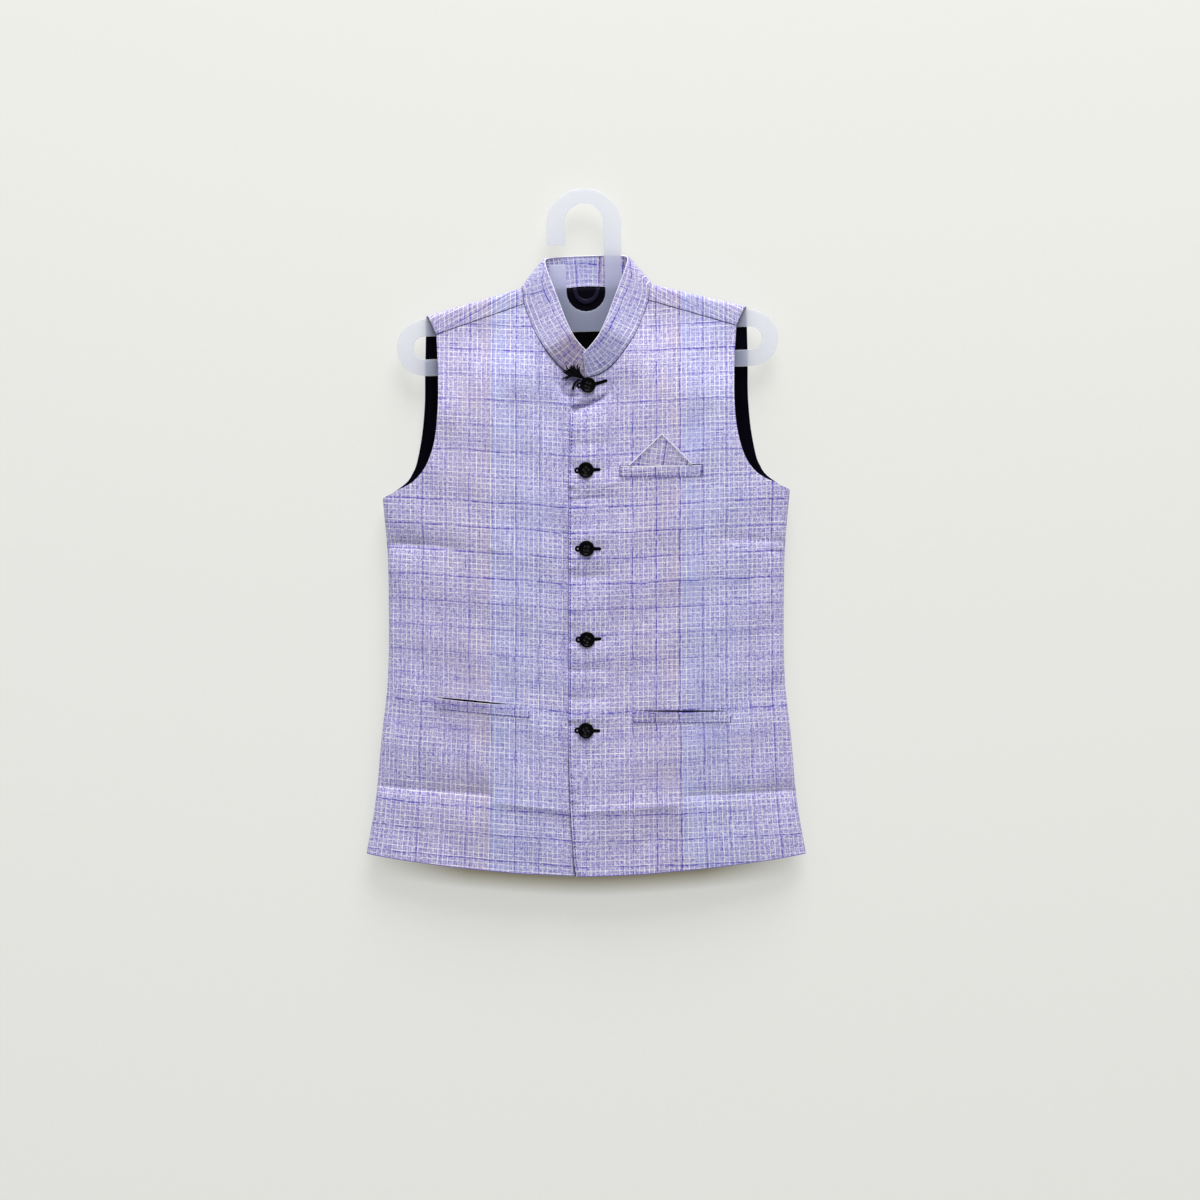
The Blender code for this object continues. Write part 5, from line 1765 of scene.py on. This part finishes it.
    def buttonholes(self) -> None:
        """Makes the worked keyhole buttonholes of black thread."""
        paths, (ring, leg) = [], self.eye
        for (x, z), (reach, rise) in zip(BUTTONS, self.tails):
            eye, tail, t = x - self.eye_at, x + reach, np.linspace(0.02, 1, 26)
            loop = np.array([eye, z]) + ring * heading(np.linspace(0.4, 5.88, 26))
            along, half = eye + ring + t * (tail - eye - ring), leg * (1 - 0.5 * t)
            under = pairs(along, z - half + rise * t * t)
            end = np.array([tail, z + rise]) + np.array([0.7, 0.8]) * MM * heading(np.array([-1.2, 0.0, 1.2]))
            over = under + pairs(np.zeros(len(t)), 2 * half)
            outline = np.concatenate([loop, under, end, over[::-1]])
            paths.append(self.form.on_front(1, outline, 0.45 * MM))
            edge = resampled(outline, 150)
            way = unit(np.gradient(edge, axis=0))
            lift = np.array([0.1, 0.9, 0.1]) * MM
            for spot, step in zip(edge, pairs(way[:, 1], -way[:, 0]) * self.whip):
                paths.append(self.form.on_front(1, [spot - step, spot, spot + step], lift))
        threads("buttonholes", paths, 0.48 * MM, Finish.BLACK_THREAD, 4)

    def tassel(self) -> None:
        """Makes the tassel of cut thread ends, which hang to the side, and the threads round its root."""
        rng = np.random.default_rng(7)
        root = np.array(self.tassel_at)
        paths, t = [], np.linspace(0, 1, 9)
        for _ in range(self.strands):
            share = rng.uniform(0, 1)
            turn = math.radians(136 + 27 * share + rng.normal(0, 2.5))
            length = (13.5 + 13 * share**0.8) * MM + rng.normal(0, 2.6 * MM)
            bend = rng.normal(0.05, 0.24)
            lift = rng.uniform(0.6 * MM, 3.2 * MM)
            spots = root + 1 * MM * heading(turn) + (length * t)[:, None] * heading(turn + bend * t * t)
            height = 1.2 * MM * (1 - t) + lift * np.sin(math.pi * np.minimum(1, t * 0.75))
            paths.append(self.form.on_front(1, spots, height, relief=False))
        arc = np.array([-1.5, -12.8]) * MM + 12.5 * MM * heading(np.radians(np.linspace(172, 250, 12)) - 1.15)
        for k in range(self.loops):
            spots = root + arc + np.array([rng.normal(0, 0.7 * MM), 0.0])
            paths.append(self.form.on_front(1, spots, (1.6 + 0.4 * k / self.loops) * MM, relief=False))
        thread = Finish.BLACK_THREAD
        threads("tassel_threads", paths, 0.9 * MM, thread, taper=0.7, node="tassel")

    def build(self) -> None:
        """Makes all of the closing."""
        for k in range(len(BUTTONS)):
            self.build_button(k)
        self.hole_rings()
        threads("button_threads", self.thread_paths(), 0.3 * MM, Finish.BLACK_THREAD)
        self.buttonholes()
        self.tassel()


@dataclass
class NeckTrims:
    """The bare label and the ribbon loop inside the back neck.

    Attributes:
        back: The back that they lie inside.
        label_x: Where the label begins and ends across.
        label_z: The same upwards.
        depth: How far inside the back's face the label lies; the loop lies a little further in.
        loop_half: Half the width of the loop.
        loop_drop: How far it droops.
        loop_width: Width of its ribbon.
    """

    back: Back
    label_x: tuple[float, float] = (-0.0340, 0.0400)
    label_z: tuple[float, float] = (-0.2020, -0.1480)
    depth: float = 0.0042
    loop_half: float = 0.0170
    loop_drop: float = 0.0200
    loop_width: float = 0.0050

    def build_label(self) -> None:
        """Makes the label."""
        sheet = Sheet("neck_label_cloth", 0.4 * MM)
        flat = lattice(np.linspace(*self.label_x, 25), np.linspace(*self.label_z, 19))
        sheet.grid(flat, lambda spots: self.back.inside(spots, self.depth))
        label = sheet.finish((Finish.LABEL,), "neck_label", "black_lining", rim=0.0)

    def build_loop(self) -> None:
        """Makes the loop, which droops in a U from the neck seam."""
        top = self.back.form.back_neck_z - 3 * MM

        def spots(share: np.ndarray) -> np.ndarray:
            """Places on the ribbon."""
            reach = 1.0 - share[:, 1:2] * self.loop_width / self.loop_half
            way = np.array([-self.loop_half, -self.loop_drop]) * heading(math.pi * share[:, 0])
            return np.array([0.0, top]) + reach * way

        def place(share: np.ndarray) -> np.ndarray:
            """Points on the ribbon's face."""
            return self.back.inside(spots(share), self.depth + 0.2 * MM)

        sheet = Sheet("neck_loop_ribbon", 0.4 * MM)
        sheet.grid(lattice(np.linspace(0, 1, 33), np.linspace(0, 1, 5)), place, spots, turned=True)
        sheet.finish((Finish.RIBBON,), "neck_loop", "black_lining", rim=0.0)

    def build(self) -> None:
        """Makes both."""
        self.build_label()
        self.build_loop()


@dataclass
class Hanger:
    """The one-piece plastic hanger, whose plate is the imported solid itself."""

    node: str = "hanger"

    def build(self) -> None:
        """Gives the plate its finish."""
        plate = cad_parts[self.node]
        plate.data.materials.clear()
        plate.data.materials.append(Finish.HANGER.material())
        log.info("%s: finished", self.node)


@dataclass
class Studio:
    """The pale wall and floor, the soft lights and the camera.

    Attributes:
        wall_y: How far back the wall stands.
        wall_glow: How brightly the wall shines of itself, as if lit through.
        glow: Colour of that light, and the darker, browner colour it takes where the hem's shadow is painted.
        floor_z: Height of the floor.
        reach: How far the wall and the floor reach from their middle.
        camera_at: Where the camera stands.
        lens: Its focal length, in millimetres.
        room_light: Strength of the room's light from straight below and from straight above.
        hem_x: Middle of the painted shadow that the hem casts on the wall.
        hem_z: Its top there.
        hem_half: Half its width.
        hem_rise: How far its top rises towards its ends.
        hem_power: How the rise grows, as the hem's own does.
    """

    wall_y: float = 0.0240
    wall_glow: float = 0.56
    glow: tuple[str, str] = ("#F3F4EE", "#8A8162")
    floor_z: float = -1.90
    reach: float = 3.0
    camera_at: tuple[float, float, float] = (0.0209, -2.4, -0.4956)
    lens: float = 57.6
    room_light: tuple[float, float] = (0.22, 0.80)
    hem_x: float = 0.0038
    hem_z: float = -0.8455
    hem_half: float = 0.281
    hem_rise: float = 0.0262
    hem_power: float = 1.6

    def _surface(
        self, name: str, matrix: Matrix, paint: tuple[str, str], glow: float = 0.0
    ) -> bpy.types.Object:
        """Makes a large flat stage surface.

        Args:
            name: Its name.
            matrix: Where it stands.
            paint: Its two shades.
            glow: How brightly it shines of itself; a surface that does is clear from behind.

        Returns:
            The surface.
        """
        mesh = bmesh.new()
        bmesh.ops.create_grid(mesh, x_segments=1, y_segments=1, size=self.reach, matrix=matrix)
        obj = object_of(mesh, name)
        n = Nodes(name + " paint")
        place = n.add("TexCoord").node.outputs["Object"]
        grain = n.add("TexNoise", {"Vector": place, "Scale": 180.0, "Detail": 3.0})
        shades = {0: grain, 6: linear(paint[0]), 7: linear(paint[1])}
        n.link(n.add("Mix", shades, data_type="RGBA"), "Base Color")
        n.link(n.add("Bump", {"Height": grain, "Strength": 0.05, "Distance": 0.0004}), "Normal")
        n.shader_values(Roughness=0.9, Emission_Strength=glow)
        if glow:
            # Painted shadow: under the hem the glow turns darker and browner.
            light = {0: self._painted_hem_shadow(n, place), 6: linear(self.glow[0]), 7: linear(self.glow[1])}
            n.link(n.add("Mix", light, data_type="RGBA"), "Emission Color")
            rear = n.add("NewGeometry").node.outputs["Backfacing"]
            n.show(n.add("MixShader", (rear, n.shader.outputs[0], n.add("BsdfTransparent"))))
        obj.data.materials.append(n.material)
        obj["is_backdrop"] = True
        return obj

    def _painted_hem_shadow(self, n: Nodes, place: Socket) -> Socket:
        """Paints the hem's shadow on the wall, where it is too close under the hem for the room's light to
        reach it.

        Args:
            n: The wall paint's tree.
            place: Where on the wall.

        Returns:
            How strongly the shadow is painted, from 0 to 1.
        """
        x, _, z = n.add("SeparateXYZ", (place,)).node.outputs
        aside = n.add("Math", (n.add("Math", (x, self.hem_x), "SUBTRACT"),), "ABSOLUTE")
        share = n.add("Math", (aside, self.hem_half), "DIVIDE")
        curve = n.add("Math", (share, self.hem_power), "POWER")
        top = n.add("Math", (curve, self.hem_rise, self.hem_z), "MULTIPLY_ADD")
        below = n.add("Math", (top, z), "SUBTRACT")
        under = n.add("MapRange", (below, 0.001, 0.024, 1.0, 0.0))
        behind = n.add("MapRange", (below, -0.015, -0.030, 1.0, 0.0))
        inside = n.add("MapRange", (aside, 0.150, 0.280, 1.0, 0.0))
        near = n.add("Math", (under, behind), "MULTIPLY")
        return n.add("Math", (near, inside), "MULTIPLY")

    def _light(
        self, name: str, at: tuple[float, float, float], size: float, watts: float, colour: str
    ) -> None:
        """Makes a large soft light that faces the jacket's middle.

        Args:
            name: Its name.
            at: Where it hangs.
            size: Length of its sides.
            watts: How strong it is.
            colour: Its colour.
        """
        data = bpy.data.lights.new(name, "AREA")
        data.shape, data.size, data.energy = "SQUARE", size, watts
        data.color = linear(colour)[:3]
        obj = bpy.data.objects.new(name, data)
        obj.location = at
        obj.rotation_euler = (Vector((0, 0, -0.45)) - Vector(at)).to_track_quat("-Z", "Y").to_euler()
        bpy.context.scene.collection.objects.link(obj)

    def _room(self) -> bpy.types.World:
        """Makes the room's even light, brighter from above than from below."""
        world = bpy.data.worlds.new("room")
        world.use_nodes = True
        tree = world.node_tree
        place = tree.nodes.new("ShaderNodeTexCoord")
        split = tree.nodes.new("ShaderNodeSeparateXYZ")
        shade = tree.nodes.new("ShaderNodeMapRange")
        for socket, value in zip(shade.inputs[1:5], (-1.0, 1.0, *self.room_light)):
            socket.default_value = value
        background = tree.nodes["Background"]
        background.inputs["Color"].default_value = linear("#F3F3F5")
        tree.links.new(place.outputs["Generated"], split.inputs[0])
        tree.links.new(split.outputs[2], shade.inputs[0])
        tree.links.new(shade.outputs[0], background.inputs["Strength"])
        return world

    def build(self) -> None:
        """Sets the stage."""
        upright = Matrix.Translation((0, self.wall_y, 0)) @ Matrix.Rotation(math.pi / 2, 4, "X")
        self._surface("wall", upright, ("#909190", "#8C8D8B"), self.wall_glow)
        floor = self._surface("floor", Matrix.Translation((0, 0, self.floor_z)), ("#BFC0BD", "#BBBCB8"))
        floor.visible_diffuse = False  # so that the creases aren't lit from below
        self._light("window", (0.5, -2.4, 3.9), 2.8, 315.0, "#FFFCF6")
        self._light("sky", (-1.6, -2.6, 0.5), 1.8, 7.0, "#F2F5FF")
        bpy.context.scene.world = self._room()
        bpy.context.scene.view_settings.view_transform = "Standard"
        camera = bpy.data.objects.new("camera", bpy.data.cameras.new("camera"))
        camera.data.lens, camera.data.sensor_width = self.lens, 36.0
        camera.location, camera.rotation_euler = self.camera_at, (math.pi / 2, 0, 0)
        bpy.context.scene.collection.objects.link(camera)
        bpy.context.scene.camera = camera


UPRIGHT = (0.0110, 0.0080, 0.0014)  # above, below and depth of a long pressed fold
VALLEY = (0.0120, 0.0100, 0.0040)
CREST = (0.0180, 0.0095, 0.0034)
BACK_VALLEY = (0.0120, 0.0090, 0.0064)  # deeper, because the back is lit more evenly
BACK_CREST = (0.0180, 0.0085, 0.0046)
PLACKET_WAVES = (  # height and depth of the slack between the buttons
    (-0.3040, 0.0017), (-0.3720, 0.0025), (-0.4685, 0.0026), (-0.5325, 0.0015), (-0.5835, 0.0023),
    (-0.6195, 0.0020), (-0.6500, 0.0013),
)
OVER_LAP = ((-0.0170, -0.2605), (0.0010, -0.2545), (0.0150, -0.2490), (0.0258, -0.2427), (0.0356, -0.2282),
            (0.0406, -0.2122))  # down from the collar's over end
UNDER_LAP = ((0.0163, -0.2447), (0.0287, -0.2400), (0.0361, -0.2262), (0.0398, -0.2050))
LEFT_CREASES = (
    Crease(((0.1190, -0.8250), (0.1185, -0.4500), (0.1180, -0.1500)), *UPRIGHT, Relief.RIDGE, 0.02, 0.10),
    Crease(((0.1470, -0.4202), (0.1903, -0.4234), (0.2600, -0.4280)),
           0.0080, 0.0090, 0.0026, start=0.4, end=0.0),
    Crease(((0.2200, -0.4370), (0.2640, -0.4440)), 0.0040, 0.0050, 0.0022, start=0.3, end=0.0),
    Crease(((-0.0120, -0.7578), (0.0200, -0.7570), (0.0542, -0.7541), (0.1161, -0.7492)),
           *CREST, Relief.RIDGE, 0.1, 0.05),
    Crease(((0.1185, -0.7394), (0.1903, -0.7357), (0.2720, -0.7325)), *VALLEY, start=0.04, end=0.0),
    Crease(OVER_LAP, 0.0034, 0.0070, 0.0064, start=0.0, end=0.75),
    Crease(((-0.0230, -0.2440), (-0.0060, -0.2425)), 0.0028, 0.0050, 0.0050, start=0.0, end=0.5),
    Crease(((0.0180, -0.3560), (0.0330, -0.3520), (0.0440, -0.3470)),
           0.0034, 0.0044, 0.0016, Relief.RIDGE, 0.3, 0.3),
    *(Crease(((-0.0210, z), (0.0120, z + 0.0020), (0.0460, z)), 0.0085, 0.0085, depth, start=0.0, end=0.6)
      for z, depth in PLACKET_WAVES),
)
RIGHT_CREASES = (
    Crease(((0.1168, -0.8250), (0.1165, -0.4500), (0.1165, -0.1450)), *UPRIGHT, Relief.RIDGE, 0.02, 0.10),
    Crease(((0.1066, -0.4357), (0.1561, -0.4299), (0.1957, -0.4243), (0.2640, -0.4200)),
           0.0100, 0.0090, 0.0052, start=0.8, end=0.0),
    Crease(((0.1125, -0.4350), (0.1190, -0.4250)), 0.0034, 0.0034, 0.0016, Relief.RIDGE, 0.3, 0.3),
    Crease(((0.1165, -0.7367), (0.1932, -0.7317), (0.2800, -0.7250)), *VALLEY, start=0.03, end=0.0),
    Crease(((0.0150, -0.7590), (0.0571, -0.7529), (0.1150, -0.7460)), *CREST, Relief.RIDGE, 0.12, 0.04),
    Crease(((0.0700, -0.4470), (0.0950, -0.4380)), 0.0080, 0.0080, 0.0010, Relief.RIDGE, 0.4, 0.4),
    Crease(UNDER_LAP, 0.0060, 0.0050, 0.0040, start=0.0, end=0.5),
)
BACK_CREASES = (
    Crease(((-0.1165, -0.8000), (-0.1170, -0.1700)), *UPRIGHT, Relief.RIDGE, 0.02, 0.10),
    Crease(((0.1185, -0.8000), (0.1180, -0.1700)), *UPRIGHT, Relief.RIDGE, 0.02, 0.10),
    Crease(((-0.2640, -0.7260), (-0.1165, -0.7370)), *BACK_VALLEY, start=0.0, end=0.04),
    Crease(((-0.1150, -0.7480), (0.0050, -0.7560), (0.1170, -0.7500)), *BACK_CREST, Relief.RIDGE, 0.05, 0.05),
    Crease(((0.1185, -0.7400), (0.2640, -0.7320)), *BACK_VALLEY, start=0.04, end=0.0),
    Crease(((-0.2640, -0.4220), (-0.1900, -0.4260), (-0.1100, -0.4340)), *BACK_VALLEY, start=0.0, end=0.7),
    Crease(((0.1300, -0.4260), (0.2000, -0.4250), (0.2640, -0.4290)), *BACK_VALLEY, start=0.5, end=0.0),
    Crease(((-0.0700, -0.1680), (0.0050, -0.1790), (0.0750, -0.1660)),
           0.0140, 0.0160, 0.0012, start=0.3, end=0.3),
)
OVER_EDGE = (  # a front's own edge, from the hem up
    (-0.0123, -0.8380), (-0.0155, -0.8150), (-0.0195, -0.7530), (-0.0222, -0.6700), (-0.0220, -0.4500),
    (-0.0215, -0.3300), (-0.0195, -0.2620), (-0.0176, -0.2380),
)
UNDER_EDGE = ((-0.0180, -0.8380), (-0.0200, -0.6700), (-0.0200, -0.4000), (-0.0160, -0.2320))


def write_sizes() -> None:
    """Writes the CAD box and the dressed model's box."""
    boxes = [[list(corner) for corner in box] for box in (CAD_BOX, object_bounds())]
    log.info("sizes: %s", boxes)


def main() -> None:
    """Builds the jacket, its hanger and the stage."""
    logging.basicConfig(level=logging.INFO, format="%(relativeCreated)d %(name)s: %(message)s")
    form = JacketForm(creases={1: LEFT_CREASES, -1: RIGHT_CREASES, 0: BACK_CREASES})
    fronts = {
        1: Front(form, 1, "front_left", OVER_EDGE, 0.031),
        -1: Front(form, -1, "front_right", UNDER_EDGE, 0.082),
    }
    back = Back(form)
    back.build()
    for front in fronts.values():
        front.build()
    back.build_lining()
    collar = Collar(form, back)
    collar.build()
    pockets = Pockets(form, fronts)
    for welt in pockets.welts:
        pockets.build_welt(welt)
        pockets.build_mouth(welt)
    pockets.build_square()
    rows = [path for front in fronts.values() for path in front.stitching()] + pockets.stitching()
    threads("topstitching", rows, 0.55 * MM, Finish.BLUE_THREAD, 4, taper=0.6)
    # Dark tubes along the front edges and the hem's turn: painted shade.
    turned = [front.edge_path() for front in fronts.values()]
    threads("front_edge_shade_lines", turned, 0.42 * MM, Finish.HEM_TURN, 6)
    # Pale tubes on the pressed folds: painted highlights.
    edges = collar.edge_paths() + pockets.edge_paths()
    threads("pressed_edge_highlights", edges, 0.58 * MM, Finish.PRESSED_EDGE, 6)
    # Seam thread, with dark lines of painted shade under the front edge and at the chest welt's slits.
    seams = back.seam_paths() + collar.seam_paths() + [fronts[1].shaded_edge_path()] + pockets.mouth_ends()
    threads("seam_threads_and_shade_lines", seams, 0.32 * MM, Finish.SEAM_THREAD, 4)
    hem_shade_paths = [front.hem_shade_path() for front in fronts.values()]
    threads("hem_shade_lines", hem_shade_paths, 0.6 * MM, Finish.HEM_TURN, 6)
    Closing(form).build()
    NeckTrims(back).build()
    Hanger().build()
    Studio().build()
    write_sizes()


if __name__ == "__main__":
    main()
